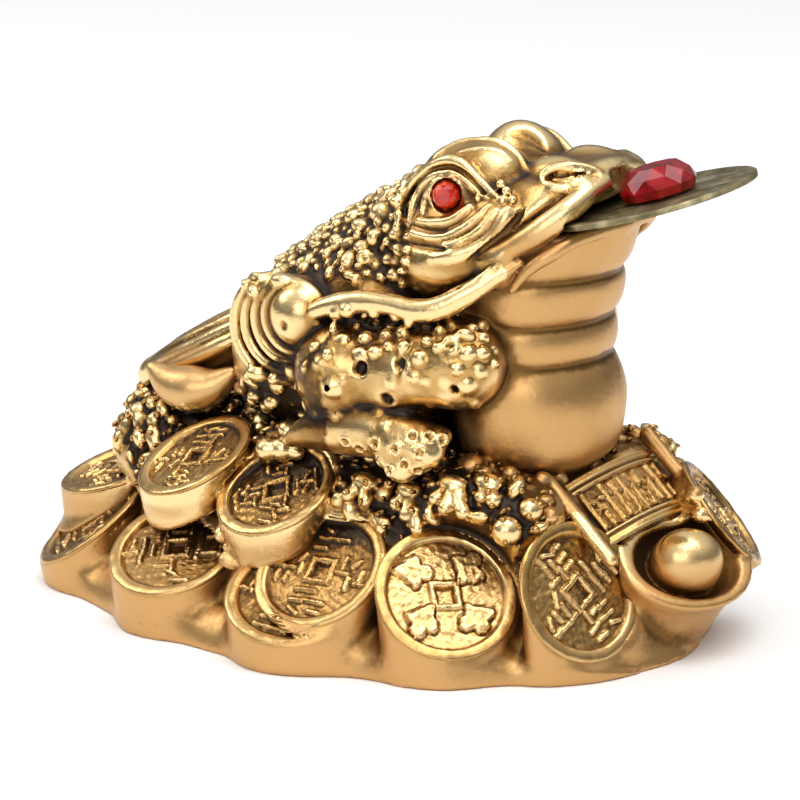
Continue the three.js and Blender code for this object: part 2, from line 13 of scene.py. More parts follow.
import bpy
import numpy as np
from mathutils import Euler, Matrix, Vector

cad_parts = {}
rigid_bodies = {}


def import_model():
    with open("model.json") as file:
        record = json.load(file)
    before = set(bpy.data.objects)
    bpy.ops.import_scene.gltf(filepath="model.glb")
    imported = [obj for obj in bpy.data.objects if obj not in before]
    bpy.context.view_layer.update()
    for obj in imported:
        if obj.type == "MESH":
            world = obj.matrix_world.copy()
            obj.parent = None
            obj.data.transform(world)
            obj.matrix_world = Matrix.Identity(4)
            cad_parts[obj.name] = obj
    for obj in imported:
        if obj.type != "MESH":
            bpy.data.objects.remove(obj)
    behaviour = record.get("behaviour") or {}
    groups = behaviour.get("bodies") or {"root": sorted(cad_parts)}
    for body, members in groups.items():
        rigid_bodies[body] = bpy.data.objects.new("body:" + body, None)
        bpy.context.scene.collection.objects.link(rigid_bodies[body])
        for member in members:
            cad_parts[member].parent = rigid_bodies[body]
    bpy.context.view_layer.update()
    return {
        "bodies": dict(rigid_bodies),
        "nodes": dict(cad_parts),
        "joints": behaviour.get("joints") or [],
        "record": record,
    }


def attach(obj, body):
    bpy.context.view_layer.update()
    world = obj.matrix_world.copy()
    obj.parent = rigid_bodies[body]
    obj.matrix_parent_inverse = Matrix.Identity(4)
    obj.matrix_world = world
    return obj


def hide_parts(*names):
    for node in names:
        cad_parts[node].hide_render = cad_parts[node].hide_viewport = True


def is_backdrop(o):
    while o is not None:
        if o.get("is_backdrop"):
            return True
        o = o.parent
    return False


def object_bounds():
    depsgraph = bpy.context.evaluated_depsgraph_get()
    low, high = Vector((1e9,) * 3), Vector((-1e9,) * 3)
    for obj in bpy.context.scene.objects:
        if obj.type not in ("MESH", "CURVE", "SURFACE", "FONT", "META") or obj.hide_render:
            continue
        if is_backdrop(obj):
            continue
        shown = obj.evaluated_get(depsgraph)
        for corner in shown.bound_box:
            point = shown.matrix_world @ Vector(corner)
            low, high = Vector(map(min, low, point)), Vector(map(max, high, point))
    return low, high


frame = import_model()

# %% [markdown]
# ## The camera
#
# A product photograph of a small thing is taken with a long lens from a little over half a metre, so
# lines stay almost parallel. The camera is placed by its turn round the object, its rise above the
# table and its distance, and its lens follows from how many pixels of the photograph one millimetre
# covers.

# %% Camera
MM = 0.001
CAMERA_TURN = math.radians(32)
CAMERA_RISE = math.radians(14)
CAMERA_DISTANCE = 520
AIM_HEIGHT = 24.2
PIXELS_PER_MM = 9.0
IMAGE_WIDTH = 800
SENSOR_WIDTH = 36

camera_data = bpy.data.cameras.new("camera")
camera_data.sensor_width = SENSOR_WIDTH
camera_data.lens = PIXELS_PER_MM * CAMERA_DISTANCE * SENSOR_WIDTH / IMAGE_WIDTH
camera_data.clip_start = 0.01
camera = bpy.data.objects.new("camera", camera_data)
flat_reach = math.cos(CAMERA_RISE)
camera.location = Vector((
    CAMERA_DISTANCE * math.sin(CAMERA_TURN) * flat_reach,
    -CAMERA_DISTANCE * math.cos(CAMERA_TURN) * flat_reach,
    CAMERA_DISTANCE * math.sin(CAMERA_RISE) + AIM_HEIGHT,
)) * MM
camera.rotation_euler = (math.pi / 2 - CAMERA_RISE, 0, CAMERA_TURN)
bpy.context.scene.collection.objects.link(camera)
bpy.context.scene.camera = camera
print("lens, mm:", round(camera_data.lens, 1))

# %% [markdown]
# ## Digital clay
#
# The clay is a box of evenly spaced points, and each point holds its distance to the surface: below
# zero inside, above zero outside. To press a form on, the lower of two distances is kept, with a small
# fillet where they are nearly equal. To carve, the form's distance is turned round first. Blender has
# sculpt brushes for this, but they can't be worked from a script, and voxel remesh gives no fillets.

# %% Clay and its two tools
EMPTY = 6.0  # the distance that stands for empty space, in mm
REACH = 1.8  # how far round a form its distances are worked out, in mm


class Clay:
    def __init__(self, low, high, step):
        self.low = np.array(low, float)
        self.step = step
        count = np.ceil((np.array(high, float) - self.low) / step).astype(int) + 1
        self.field = np.full(count, EMPTY, np.float32)

    def window(self, low, high):
        first = np.floor((np.array(low) - self.low) / self.step).astype(int)
        last = np.ceil((np.array(high) - self.low) / self.step).astype(int) + 1
        first = np.clip(first, 0, self.field.shape)
        last = np.clip(last, first, self.field.shape)
        axes = [
            (self.low[i] + self.step * np.arange(first[i], last[i])).astype(np.float32)
            for i in range(3)
        ]
        part = tuple(slice(a, b) for a, b in zip(first, last))
        return part, np.meshgrid(*axes, indexing="ij", sparse=True)


def soft_lower(a, b, fillet):
    overlap = np.maximum(fillet - np.abs(a - b), 0)
    return np.minimum(a, b) - overlap * overlap / (4 * fillet)


def soft_upper(a, b, fillet):
    return -soft_lower(-a, -b, fillet)


def press(clay, form, fillet=0.5):
    low, high, distance = form
    part, (x, y, z) = clay.window(low - REACH, high + REACH)
    if clay.field[part].size:
        width = fillet(z) if callable(fillet) else fillet
        clay.field[part] = soft_lower(clay.field[part], distance(x, y, z), width)


def carve(clay, form, fillet=0.3):
    low, high, distance = form
    part, (x, y, z) = clay.window(low - REACH, high + REACH)
    if clay.field[part].size:
        clay.field[part] = soft_upper(clay.field[part], -distance(x, y, z), fillet)


print("clay tools ready")

# %% [markdown]
# ## The forms to press
#
# Three small forms make most of the toad. An egg is a turned ellipsoid, for lumps and warts. A stroke
# is a round or flattened bar along a smooth line, for limbs, lips and creases. A disc is a short
# round plate, which makes the slots. Each gives its box and a function for the distance to it, so the
# clay is only worked near the form. Curves with a bevel could draw the strokes too, but they would be
# separate skins.

# %% Eggs, strokes and discs
TINY = 1e-6  # both keep a root or a share away from zero
TINIEST = 1e-9


def egg_distance(centre, axes, radii):
    def distance(x, y, z):
        offset = (x - centre[0], y - centre[1], z - centre[2])
        near = 0
        steep = 0
        for i in range(3):
            share = sum(axes[k, i] * offset[k] for k in range(3)) / radii[i]
            near = near + share ** 2
            steep = steep + (share / radii[i]) ** 2
        near = np.sqrt(near + TINY)
        return near * (near - 1) / np.sqrt(steep + TINIEST)

    return distance


def egg(centre, radii, turn=(0, 0, 0)):
    axes = np.array(Euler([math.radians(t) for t in turn]).to_matrix())
    radii = np.broadcast_to(np.array(radii, float), 3)
    reach = np.sqrt(((axes * radii) ** 2).sum(axis=1))
    return np.array(centre) - reach, np.array(centre) + reach, egg_distance(centre, axes, radii)


def smooth_line(rows, parts=6):
    rows = np.array(rows, float)
    padded = np.vstack([2 * rows[0] - rows[1], rows, 2 * rows[-1] - rows[-2]])
    line = []
    for i in range(len(rows) - 1):
        before, start, end, after = padded[i:i + 4]
        for t in np.arange(parts) / parts:
            line.append(0.5 * (
                2 * start + (end - before) * t
                + (2 * before - 5 * start + 4 * end - after) * t ** 2
                + (3 * start - before - 3 * end + after) * t ** 3
            ))
    line.append(rows[-1])
    return np.array(line)


def stroke(rows, flat=1.0, thin=(0, 0, 1), parts=6):
    line = smooth_line(rows, parts)
    thin = np.array(thin, float)

    def distance(x, y, z):
        result = np.full((x.size, y.size, z.size), EMPTY, np.float32)
        axes = (x.ravel(), y.ravel(), z.ravel())
        for a, b in zip(line, line[1:]):
            reach = max(a[3], b[3]) + REACH
            part = tuple(
                slice(np.searchsorted(axis, min(a[i], b[i]) - reach),
                      np.searchsorted(axis, max(a[i], b[i]) + reach))
                for i, axis in enumerate(axes)
            )
            offset = (
                x[part[0]] - a[0],
                y[:, part[1]] - a[1],
                z[:, :, part[2]] - a[2],
            )
            ahead = b[:3] - a[:3]
            length = max(ahead @ ahead, TINIEST)
            share = np.clip(sum(offset[i] * ahead[i] for i in range(3)) / length, 0, 1)
            gap = [offset[i] - share * ahead[i] for i in range(3)]
            square = gap[0] ** 2 + gap[1] ** 2 + gap[2] ** 2
            if flat != 1:
                over = thin - ahead * (thin @ ahead) / length
                over = over / np.linalg.norm(over)
                rise = sum(gap[i] * over[i] for i in range(3))
                square = square + rise ** 2 * (1 / flat ** 2 - 1)
            value = np.sqrt(square) - (a[3] + share * (b[3] - a[3]))
            result[part] = np.minimum(result[part], value)
        return result

    low = (line[:, :3] - line[:, 3:]).min(axis=0)
    high = (line[:, :3] + line[:, 3:]).max(axis=0)
    return low, high, distance


def disc(middle, facing, radius, half):
    middle = np.array(middle)
    facing = np.array(facing) / np.linalg.norm(facing)
    reach = radius * np.sqrt(1 - facing ** 2) + half * np.abs(facing)

    def distance(x, y, z):
        offset = (x - middle[0], y - middle[1], z - middle[2])
        rise = sum(offset[i] * facing[i] for i in range(3))
        square = sum(offset[i] ** 2 for i in range(3)) - rise ** 2
        return np.maximum(np.sqrt(np.maximum(square, 0)) - radius, np.abs(rise) - half)

    return middle - reach, middle + reach, distance


print("eggs, strokes and discs ready")

# %% [markdown]
# ## Rings for the large forms
#
# The head, the body and the throat change their outline along their length. A trunk is drawn by
# upright rings, each with a top, a bottom and half a width, and a pillar by level ones. The sizes
# between two rings follow a smooth curve, which is what a lofted surface does in a modelling program.

# %% Trunks and pillars
def faired(places, values, at):
    slopes = np.gradient(values, places)
    i = np.clip(np.searchsorted(places, at) - 1, 0, len(places) - 2)
    step = places[i + 1] - places[i]
    t = np.clip((at - places[i]) / step, 0, 1)
    return (
        values[i] * (1 + 2 * t) * (1 - t) ** 2 + values[i + 1] * t * t * (3 - 2 * t)
        + slopes[i] * step * t * (1 - t) ** 2 - slopes[i + 1] * step * t * t * (1 - t)
    )


def ring_distance(first, first_half, second, second_half):
    a = first / first_half
    b = second / second_half
    near = np.sqrt(a * a + b * b + TINY)
    return near * (near - 1) / np.sqrt((a / first_half) ** 2 + (b / second_half) ** 2 + TINIEST)


def trunk(rings, blunt=2.0):
    rings = np.array(sorted(rings), float)
    start, end = rings[0, 0], rings[-1, 0]

    def distance(x, y, z):
        top, bottom, half = (faired(rings[:, 0], rings[:, i], x) for i in (1, 2, 3))
        wall = ring_distance(y, half, z - (top + bottom) / 2, (top - bottom) / 2)
        return soft_upper(wall, np.maximum(x - end, start - x), blunt)

    low = np.array([start, -rings[:, 3].max(), rings[:, 2].min()])
    high = np.array([end, rings[:, 3].max(), rings[:, 1].max()])
    return low, high, distance


def pillar(rings, blunt=1.0):
    rings = np.array(sorted(rings), float)
    start, end = rings[0, 0], rings[-1, 0]

    def distance(x, y, z):
        middle, long, half = (faired(rings[:, 0], rings[:, i], z) for i in (1, 2, 3))
        wall = ring_distance(x - middle, long, y, half)
        return soft_upper(wall, np.maximum(z - end, start - z), blunt)

    low = np.array([(rings[:, 1] - rings[:, 2]).min(), -rings[:, 3].max(), start])
    high = np.array([(rings[:, 1] + rings[:, 2]).max(), rings[:, 3].max(), end])
    return low, high, distance


print("trunks and pillars ready")

# %% [markdown]
# ## Finding places on the surface
#
# Warts, craters and bubbles sit on the surface wherever the skin is rough. Random points are moved on
# to the surface along the slope of the clay's distances, and a point is kept only if it isn't too
# near one that was kept before. The seed is fixed, so each run gives the same toad.

# %% Places for warts
SETTLING_STEPS = 6
NEAR_THE_SURFACE = 0.15
LEAST_STEEP = 0.2
RIPPLE_WAVES = 6


def read(clay, points, field=None):
    field = clay.field if field is None else field
    place = (points - clay.low) / clay.step
    place = np.clip(place, 0, np.array(field.shape) - 1.001)
    corner = np.floor(place).astype(int)
    share = place - corner
    value = 0
    for i in (0, 1):
        for j in (0, 1):
            for k in (0, 1):
                weight = (
                    np.abs(1 - i - share[:, 0]) * np.abs(1 - j - share[:, 1])
                    * np.abs(1 - k - share[:, 2])
                )
                value = value + weight * field[corner[:, 0] + i, corner[:, 1] + j, corner[:, 2] + k]
    return value


def slope(clay, points):
    nudge = np.eye(3) * clay.step
    return np.stack([
        read(clay, points + nudge[i]) - read(clay, points - nudge[i]) for i in range(3)
    ], axis=1) / (2 * clay.step)


def places_on(clay, low, high, gap, tries, seed, keep=None):
    dice = np.random.default_rng(seed)
    points = dice.uniform(low, high, (tries, 3))
    for _ in range(SETTLING_STEPS):
        ahead = slope(clay, points)
        steep = np.maximum((ahead ** 2).sum(axis=1), LEAST_STEEP)
        points = points - ahead * (np.clip(read(clay, points), -1, 1) / steep)[:, None]
    facing = slope(clay, points)
    facing /= np.linalg.norm(facing, axis=1)[:, None] + TINY
    good = np.abs(read(clay, points)) < NEAR_THE_SURFACE
    good &= (points > low).all(axis=1) & (points < high).all(axis=1)
    if keep is not None:
        good &= keep(points, facing)
    kept = []
    for i in np.flatnonzero(good):
        if all(((points[i] - points[j]) ** 2).sum() > gap ** 2 for j in kept):
            kept.append(i)
    return points[kept], facing[kept]


def ripple(clay, amount, length, seed):
    dice = np.random.default_rng(seed)
    _, (x, y, z) = clay.window(clay.low, clay.low + clay.step * np.array(clay.field.shape))
    for _ in range(RIPPLE_WAVES):
        wave = dice.normal(size=3)
        wave *= 2 * math.pi / length / np.linalg.norm(wave) * dice.uniform(0.6, 1.5)
        shift = dice.uniform(0, 2 * math.pi)
        clay.field += (amount / 3) * np.sin(x * wave[0] + y * wave[1] + z * wave[2] + shift)


print("wart finder ready")

# %% [markdown]
# ## The toad's large forms
#
# The toad sits up on its folded legs, with its head raised and its throat blown out in front. The
# body is a trunk, the throat and belly are a pillar with folds across it, and the head is a flat
# wedge. They go on first with wide fillets, so that the body reads as one animal.

# %% Body, throat and head
TOAD_STEP = 0.25
SIDES = (-1, 1)
toad = Clay((-34, -19.5, 15.5), (30.5, 19.5, 56.6), TOAD_STEP)

press(toad, trunk([
    (-18, 34.2, 20.5, 6.9), (-12.6, 40.2, 20.5, 11.4), (-7.2, 44, 20.5, 13.2),
    (-1.8, 47.4, 20.5, 14.1), (3.6, 49.7, 20.5, 14), (9, 51, 20.5, 10.5),
], 3))
press(toad, pillar([
    (18, 17.2, 5, 6.4), (19, 17.2, 5.9, 7.4), (21.4, 17.7, 8.1, 9.3), (24.6, 17.9, 9, 10.3),
    (28.6, 17.8, 9.1, 10.7), (31.3, 17.2, 8.6, 10.3), (32.1, 17, 8.25, 10.1), (33, 17, 8.6, 10.4),
    (34, 16.9, 8.9, 10.6), (35.6, 16.7, 8.9, 10.6), (36.5, 16.6, 8.65, 10.4), (37.3, 16.7, 9.2, 10.8),
    (39, 16.9, 9.7, 11), (40.8, 16.9, 9.8, 11), (41.6, 16.8, 9.65, 10.8), (42.4, 16.9, 10.2, 11.1),
    (44.8, 17.2, 10.9, 11.5), (47.2, 17.4, 11.4, 11.6),
], 1.2), 1.0)
press(toad, trunk([
    (28.2, 53.6, 51.2, 3.4), (27, 54.2, 49.8, 5.8), (24.6, 54.2, 47.6, 8.5), (21, 53.6, 44.6, 11.2),
    (15, 53.2, 41, 12.3), (8, 52.2, 39, 11.8), (1, 49.5, 38, 9.8),
], 1.6), 0.8)
print("clay points in the toad:", toad.field.size)

# %% [markdown]
# ## The legs
#
# An arm has a thick upper part that bulges three times, and below it a forearm that ends in a spur at
# the back and a broad hand in front. Behind it is a round knee with ring-like folds of skin, and the
# single hind leg lies flat on the heap behind the body, like a thick leaf.

# %% Arms, knees and the hind leg
def sided(rows, side):
    return [(row[0], row[1] * side, *row[2:]) for row in rows]


for side in SIDES:
    press(toad, stroke(sided([
        (15.2, 11.4, 33, 4.8), (11, 13.2, 32.2, 4.6), (6.6, 13.5, 31.4, 4.3), (2.2, 13.9, 30.6, 5.2),
    ], side)), 1.0)
    press(toad, egg((1.4, 14.3 * side, 30.6), (5.2, 4.5, 5.9)), 1.2)
    press(toad, egg((7.6, 14.2 * side, 31), (4.2, 3.6, 4.4)), 1.2)
    press(toad, egg((15, 12.7 * side, 32.8), (5, 4.2, 4.9)), 1.0)
    press(toad, stroke(sided([
        (-4.4, 15.9, 22.4, 0.7), (-1.6, 15.7, 23.8, 1.9), (2.6, 15.4, 24.8, 3), (7, 15.2, 25, 3.2),
        (11, 14.9, 24.2, 2.6),
    ], side)), 0.6)
    for tip in ((13.7, 14.2, 24.9), (13.3, 15.6, 23.2), (10.7, 16.8, 21.6)):
        wrist = (9.4, 15 * side, 24.2, 2.6)
        press(toad, stroke([wrist, (tip[0], tip[1] * side, tip[2], 1.6)], 0.8), 1.4)
    press(toad, egg((10.8, 15.7 * side, 23.9), (3.5, 2.2, 2.9), (0, 20, 0)), 1.2)
    press(toad, egg((-9, 7.4 * side, 29.4), (8, 4.4, 6.6), (0, 24, 0)), 1.5)
    press(toad, egg((-5.4, 12.4 * side, 35.4), (5.4, 3.4, 4.8)), 1.0)

press(toad, stroke([
    (-12, 0, 33.4, 4.6), (-18, 0, 30.3, 5.2), (-23.4, 0, 27.4, 5.2), (-28.4, 0, 25, 4.6),
    (-32, 0, 23.6, 3),
], 0.62), 0.8)
print("legs pressed on")

# %% [markdown]
# ## Folds behind the knee
#
# The knee is a smooth dome with a dimple, and the skin behind it is pushed into four rounded folds,
# each a little larger than the one before and a little further back and down. Rings are pressed on
# one after the other with a thin fillet, so that a sharp valley stays between them for the dark wash.

# %% Knees and their folds
KNEE = (-3.4, 15.4, 36.4)
KNEE_RADIUS = 3.3
FOLD_COUNT = 4
FOLD_STEP = 0.66
FOLD_THICK = 0.74
FOLD_BACK = 1.45  # how far a fold moves back and down for each mm that it grows
FOLD_DOWN = 0.9
FOLD_IN = 0.38  # how far each fold lies nearer the body than the one before it


def ring_rows(centre, radius, side, thick, turns=16):
    rows = []
    for i in range(turns + 1):
        angle = 2 * math.pi * i / turns
        rows.append((
            centre[0] + radius * math.cos(angle), centre[1] * side,
            centre[2] + radius * math.sin(angle), thick,
        ))
    return rows


for side in SIDES:
    for i in range(FOLD_COUNT, 0, -1):
        behind = FOLD_STEP * (i - 0.4)
        middle = (KNEE[0] - FOLD_BACK * behind, KNEE[1] - FOLD_IN * i, KNEE[2] - FOLD_DOWN * behind)
        fold = KNEE_RADIUS + behind
        press(toad, egg((middle[0], (middle[1] - 1.2) * side, middle[2]), (fold, 1.6, fold)), 0.1)
        press(toad, stroke(ring_rows(middle, fold, side, FOLD_THICK), parts=2), 0.05)
    press(toad, egg((KNEE[0], (KNEE[1] - 0.5) * side, KNEE[2]), (3.6, 2.8, 3.6)), 0.12)
    carve(toad, egg((-3.9, 17.9 * side, 35.6), 0.7), 0.3)
print("knees folded")

# %% [markdown]
# ## The face
#
# The face is what a buyer looks at: heavy lids round the red eyes, folds below them, a wide mouth
# whose lip runs back as a long ridge over the shoulder, and small bumps with open nostrils on the
# snout. Lids and lips are raised strokes, and creases beside them are carved ones. A line is a row of
# points, each with its own thickness, so a fold can start thin, swell and fade out as a carver's does.

# %% Lines of the face
EYE_MOUND = (12.6, 5.6, 49.7)
EYE_MIDDLE = (11.2, 5.9, 49.7)
EYE_REACH = 5.4
EYE_LOOK = np.array([0.25, 0.95, 0.17]) / np.linalg.norm([0.25, 0.95, 0.17])
EYE_GEM_RADIUS = 1.5


def eye_place(side, lift=0.0):
    look = EYE_LOOK * (1, side, 1)
    middle = np.array([EYE_MIDDLE[0], EYE_MIDDLE[1] * side, EYE_MIDDLE[2]])
    seat = middle + look * (EYE_REACH + lift)
    return seat, look


def press_lines(clay, lines, side, fillet):
    for line in lines:
        press(clay, stroke(sided(line, side)), fillet)


def carve_lines(clay, lines, side, fillet):
    for line in lines:
        carve(clay, stroke(sided(line, side)), fillet)


UPPER_LIDS = (
    ((7.3, 11.6, 45.4, 0.45), (6.8, 11.0, 47.1, 0.6), (6.5, 9.8, 49.2, 0.65), (7.2, 9.2, 51, 0.7),
     (8.9, 9.1, 52.5, 0.7), (10.7, 9.4, 53.6, 0.7), (12.2, 9.5, 54.1, 0.7), (13.6, 9.5, 53.9, 0.65),
     (14.8, 9.6, 53.2, 0.6), (16.1, 9.6, 52.2, 0.55), (17.5, 9.8, 51.3, 0.45), (18.9, 10.3, 50.8, 0.3)),
    ((8.5, 11.6, 47.2, 0.3), (8.2, 10.5, 49, 0.45), (8.7, 9.8, 50.6, 0.5), (10, 10, 52, 0.5),
     (11.3, 10, 52.8, 0.5), (12.5, 10, 53, 0.5), (13.7, 10, 52.9, 0.45), (14.8, 10.1, 52.3, 0.4),
     (16, 10.1, 51.3, 0.35), (17.5, 10.5, 50.6, 0.25)),
    ((9.9, 11.4, 48.5, 0.25), (9.7, 10.6, 49.7, 0.35), (10.3, 10.5, 51.1, 0.38),
     (11.3, 10.5, 51.9, 0.38), (12.5, 10.5, 52.2, 0.36), (13.6, 10.4, 51.9, 0.25)),
)
LOWER_LIDS = (
    ((9.5, 11.7, 47.7, 0.3), (11.5, 12.1, 47.8, 0.42), (13.7, 12.0, 48.2, 0.45), (15, 11.7, 49.1, 0.42),
     (15.9, 11, 50, 0.35), (16.3, 10.5, 50.7, 0.25)),
    ((9.2, 12.2, 46.4, 0.35), (11.7, 12.6, 46.3, 0.52), (13.8, 12.6, 46.6, 0.55), (15.5, 12.3, 47.5, 0.52),
     (16.9, 11.9, 48.7, 0.45), (18, 11.1, 50.1, 0.3)),
    ((12.6, 13.3, 45.4, 0.3), (14.9, 13, 45.9, 0.5), (16.5, 12.4, 46.8, 0.52), (18, 12, 48.1, 0.5),
     (19, 11.4, 49.8, 0.35)),
)
FACE_CREASES = (
    ((7.7, 11.6, 46.6, 0.25), (7.4, 10.4, 49.1, 0.32), (8, 9.8, 50.9, 0.34), (9.6, 9.9, 52.5, 0.34),
     (11.3, 10, 53.3, 0.34), (13, 10, 53.5, 0.34), (14.8, 10.1, 52.8, 0.32), (16.9, 10.2, 51.2, 0.26)),
    ((13.6, 10.6, 52.6, 0.2), (14.7, 10.7, 51.6, 0.36), (15.7, 10.9, 50.5, 0.36), (17, 11.5, 49.6, 0.2)),
    ((9.6, 12.4, 47, 0.3), (11.6, 12.8, 47, 0.34), (13.6, 12.7, 47.2, 0.3)),
    ((8, 12.3, 45.3, 0.35), (10.2, 13, 45.4, 0.5), (12.4, 13.4, 45.5, 0.45), (14.6, 13.3, 45.3, 0.25)),
    ((16.6, 13.2, 44.1, 0.25), (17.9, 12.7, 45.3, 0.4), (19.1, 12.1, 46.4, 0.42), (20.4, 11.3, 47.8, 0.42),
     (21.4, 10.5, 49.3, 0.36), (22, 10.1, 50.7, 0.22)),
)

BROW_CRESTS = (
    ((9.4, 9.0, 53.1, 0.2), (9.8, 8.3, 54.2, 0.3), (10.6, 7.2, 55.0, 0.34), (11.5, 6.3, 55.5, 0.36),
     (13.0, 5.6, 55.8, 0.36), (14.8, 5.5, 56.0, 0.36), (16.3, 5.3, 55.8, 0.36), (17.6, 5.2, 55.1, 0.34),
     (18.6, 5.2, 54.1, 0.3), (19.6, 5.9, 53.0, 0.2)),
    ((11.8, 8.8, 54.3, 0.15), (12.9, 8.2, 54.9, 0.26), (14.3, 7.6, 55.3, 0.28), (15.8, 7.1, 55.3, 0.28),
     (17.1, 6.8, 55.0, 0.26), (18.1, 6.7, 54.2, 0.15)),
)
BROW_HOLLOW = (
    ((12.2, 3.0, 55.4, 0.4), (13.6, 3.4, 55.3, 0.85), (15.0, 3.5, 54.7, 0.85), (16.2, 3.5, 53.8, 0.45)),
)
print("lid and crease lines:", len(UPPER_LIDS + LOWER_LIDS + FACE_CREASES))

# %% [markdown]
# ## Eyes and brows
#
# An eye sits in a mound with a brow over it. On the real casting the two brows aren't alike: the near
# one has crests on it, and the far one is shorter, with a hollow. The socket is scooped out, a low
# cushion goes back in for the stone, and then the lids are laid round it.

# %% Eyes and brows
NEAR_SIDE = -1
PEBBLES = ((18.4, 9.3, 52.2), (19.3, 9.6, 51.6), (19.2, 10.2, 50.7), (20.2, 9.9, 50.8))
CHEEK_FOLD = (
    (12.6, 13.2, 44.2, 0.7), (14.6, 13.1, 44.6, 0.95), (16.3, 12.5, 45.2, 1.0), (17.8, 11.9, 46, 1.0),
    (19, 11.5, 47.2, 0.95), (19.9, 11.3, 48.6, 0.75), (20.3, 10.9, 50, 0.45),
)

for side in SIDES:
    near = side == NEAR_SIDE
    mound = (EYE_MOUND[0], EYE_MOUND[1] * side, EYE_MOUND[2])
    press(toad, egg(mound, (6.3 if near else 5.3, 5.3, 6)), 1.0)
    brow = (15, 5.2 * side, 50.4) if near else (12, 5.6, 50)
    press(toad, egg(brow, (4.8, 4.6, 5.6 if near else 6)), 0.8)
    press(toad, egg((12.6, 9.4 * side, 43.2), (6.8, 4.4, 4.2), (0, -12, 0)), 1.6)
    carve(toad, egg((14.4, 2.2 * side, 55.9), (3, 2.2, 2), (0, 20, 0)), 1.0)
    carve(toad, egg((21.4, 10.9 * side, 52.6), (2.2, 1.8, 2.4)), 1.5)
    seat, look = eye_place(side)
    carve(toad, egg(seat + look * 1.6, (3.0, 2.2, 2.3)), 0.6)
    press(toad, egg(seat - look * 1.3, (2.3, 1.9, 2.1)), 0.3)
    press_lines(toad, [CHEEK_FOLD], side, 0.5)
    if near:
        press_lines(toad, BROW_CRESTS, side, 0.25)
    else:
        carve_lines(toad, BROW_HOLLOW, side, 0.3)
    press_lines(toad, UPPER_LIDS, side, 0.14)
    press_lines(toad, LOWER_LIDS, side, 0.14)
    carve_lines(toad, FACE_CREASES, side, 0.15)
    for pebble in PEBBLES:
        press(toad, egg((pebble[0], pebble[1] * side, pebble[2]), 0.55), 0.1)
print("eyes set in their lids")

# %% [markdown]
# ## The mouth
#
# The coin is gripped between two long lips. The upper one turns down at the corner and runs on as a
# rolled ridge over the shoulder. A nostril is a raised ring with a carved pit and a small fold in it,
# and on the far side it sits a little lower and further out. The coin's place and tilt are worked out
# here, because the mouth follows them.

# %% Mouth, lips and snout
COIN_TILT = math.radians(15.5)
COIN_ROLL = math.radians(4.5)
COIN_AHEAD = np.array([math.cos(COIN_TILT), 0, math.sin(COIN_TILT)])
COIN_UP = np.array([
    -math.sin(COIN_TILT) * math.cos(COIN_ROLL), -math.sin(COIN_ROLL),
    math.cos(COIN_TILT) * math.cos(COIN_ROLL),
])
COIN_RADIUS = 11.0
COIN_THICKNESS = 1.0  # of the CAD coin
COIN_SHEET = 0.65  # of the coin that is shown, with its top in the same place
COIN_GRIP = 6.2
MOUTH_BACK = np.array([27.65, 0, 49.1])
COIN_MIDDLE = MOUTH_BACK + COIN_AHEAD * (COIN_RADIUS - COIN_GRIP)

LIPS = (
    ((28, -0.5, 52.1, 0.95), (27.6, 3.2, 52.3, 1), (27.2, 5.2, 51.8, 1.2), (26.7, 7, 50.9, 1.3),
     (26, 8.5, 49.9, 1.35), (24.8, 9.5, 48.7, 1.4), (23.3, 10.3, 47.4, 1.4), (21.6, 10.9, 46.3, 1.3),
     (19.8, 11.5, 45.2, 1.1), (18, 12.1, 44.2, 0.7)),
    ((28.2, -0.5, 47.2, 0.8), (27.6, 4.6, 47.1, 0.75), (26.8, 8.2, 46.7, 0.7), (25.2, 10.2, 45.5, 0.75),
     (23.5, 11.1, 44.2, 0.7), (22.2, 11.5, 42.7, 0.55), (21.3, 11.7, 41.4, 0.4)),
)
JOWLS = (
    ((22, 11.2, 44.4, 0.5), (20.5, 11.8, 43.4, 0.9), (18.9, 12.5, 42.3, 1), (16.6, 13.7, 40.7, 1.25),
     (14.9, 14.4, 39.6, 1.35), (13, 15, 38.9, 1.35), (10.8, 15.4, 38.8, 1.25), (9.1, 15.6, 39.1, 1.15),
     (7.2, 15.7, 39.1, 1.2), (4.8, 15.8, 39, 1.25), (2.3, 15.9, 38.5, 1.25), (-0.2, 16, 37.6, 1.15),
     (-1.2, 16.1, 36.8, 0.9), (-0.4, 16.2, 36.1, 0.5)),
    ((20, 12.4, 44.2, 0.3), (18.6, 12.9, 43, 0.5), (17.2, 13.4, 41.9, 0.45), (15.2, 14, 41, 0.3)),
)
MOUTH_CREASES = (
    ((20.9, 12.4, 44.2, 0.2), (22.3, 12, 44.9, 0.36), (24, 11.2, 45.9, 0.4), (25.6, 10.2, 47.2, 0.4)),
    ((16.4, 14.2, 41.8, 0.2), (13.4, 15, 40.4, 0.4), (10, 15.6, 40.5, 0.4), (6, 15.8, 40.7, 0.4),
     (3, 15.9, 40.2, 0.3)),
)
NOSTRIL_RING = (
    (22.3, 7.1, 53.2, 0.45), (23.1, 6.7, 53.9, 0.5), (24.8, 5.8, 54.3, 0.5), (26.4, 4.4, 53.9, 0.48),
    (27.4, 3.8, 53.2, 0.4), (27.3, 4.8, 52.5, 0.4), (26.6, 6.3, 52.1, 0.48), (25.4, 7.5, 52, 0.5),
    (24, 8, 52.2, 0.5), (22.8, 7.6, 52.6, 0.45), (22.3, 7.1, 53.2, 0.45),
)
NOSTRIL_PIT = ((23.1, 7.5, 53, 0.4), (24.5, 7, 53.3, 0.62), (25.8, 6.2, 53.2, 0.6), (26.7, 5, 53, 0.35))
NOSTRIL_FOLD = ((23.6, 7, 52.8, 0.25), (24.7, 6.9, 52.7, 0.38), (25.5, 6.1, 53.1, 0.3))
FAR_NOSTRIL_DROP = 0.8

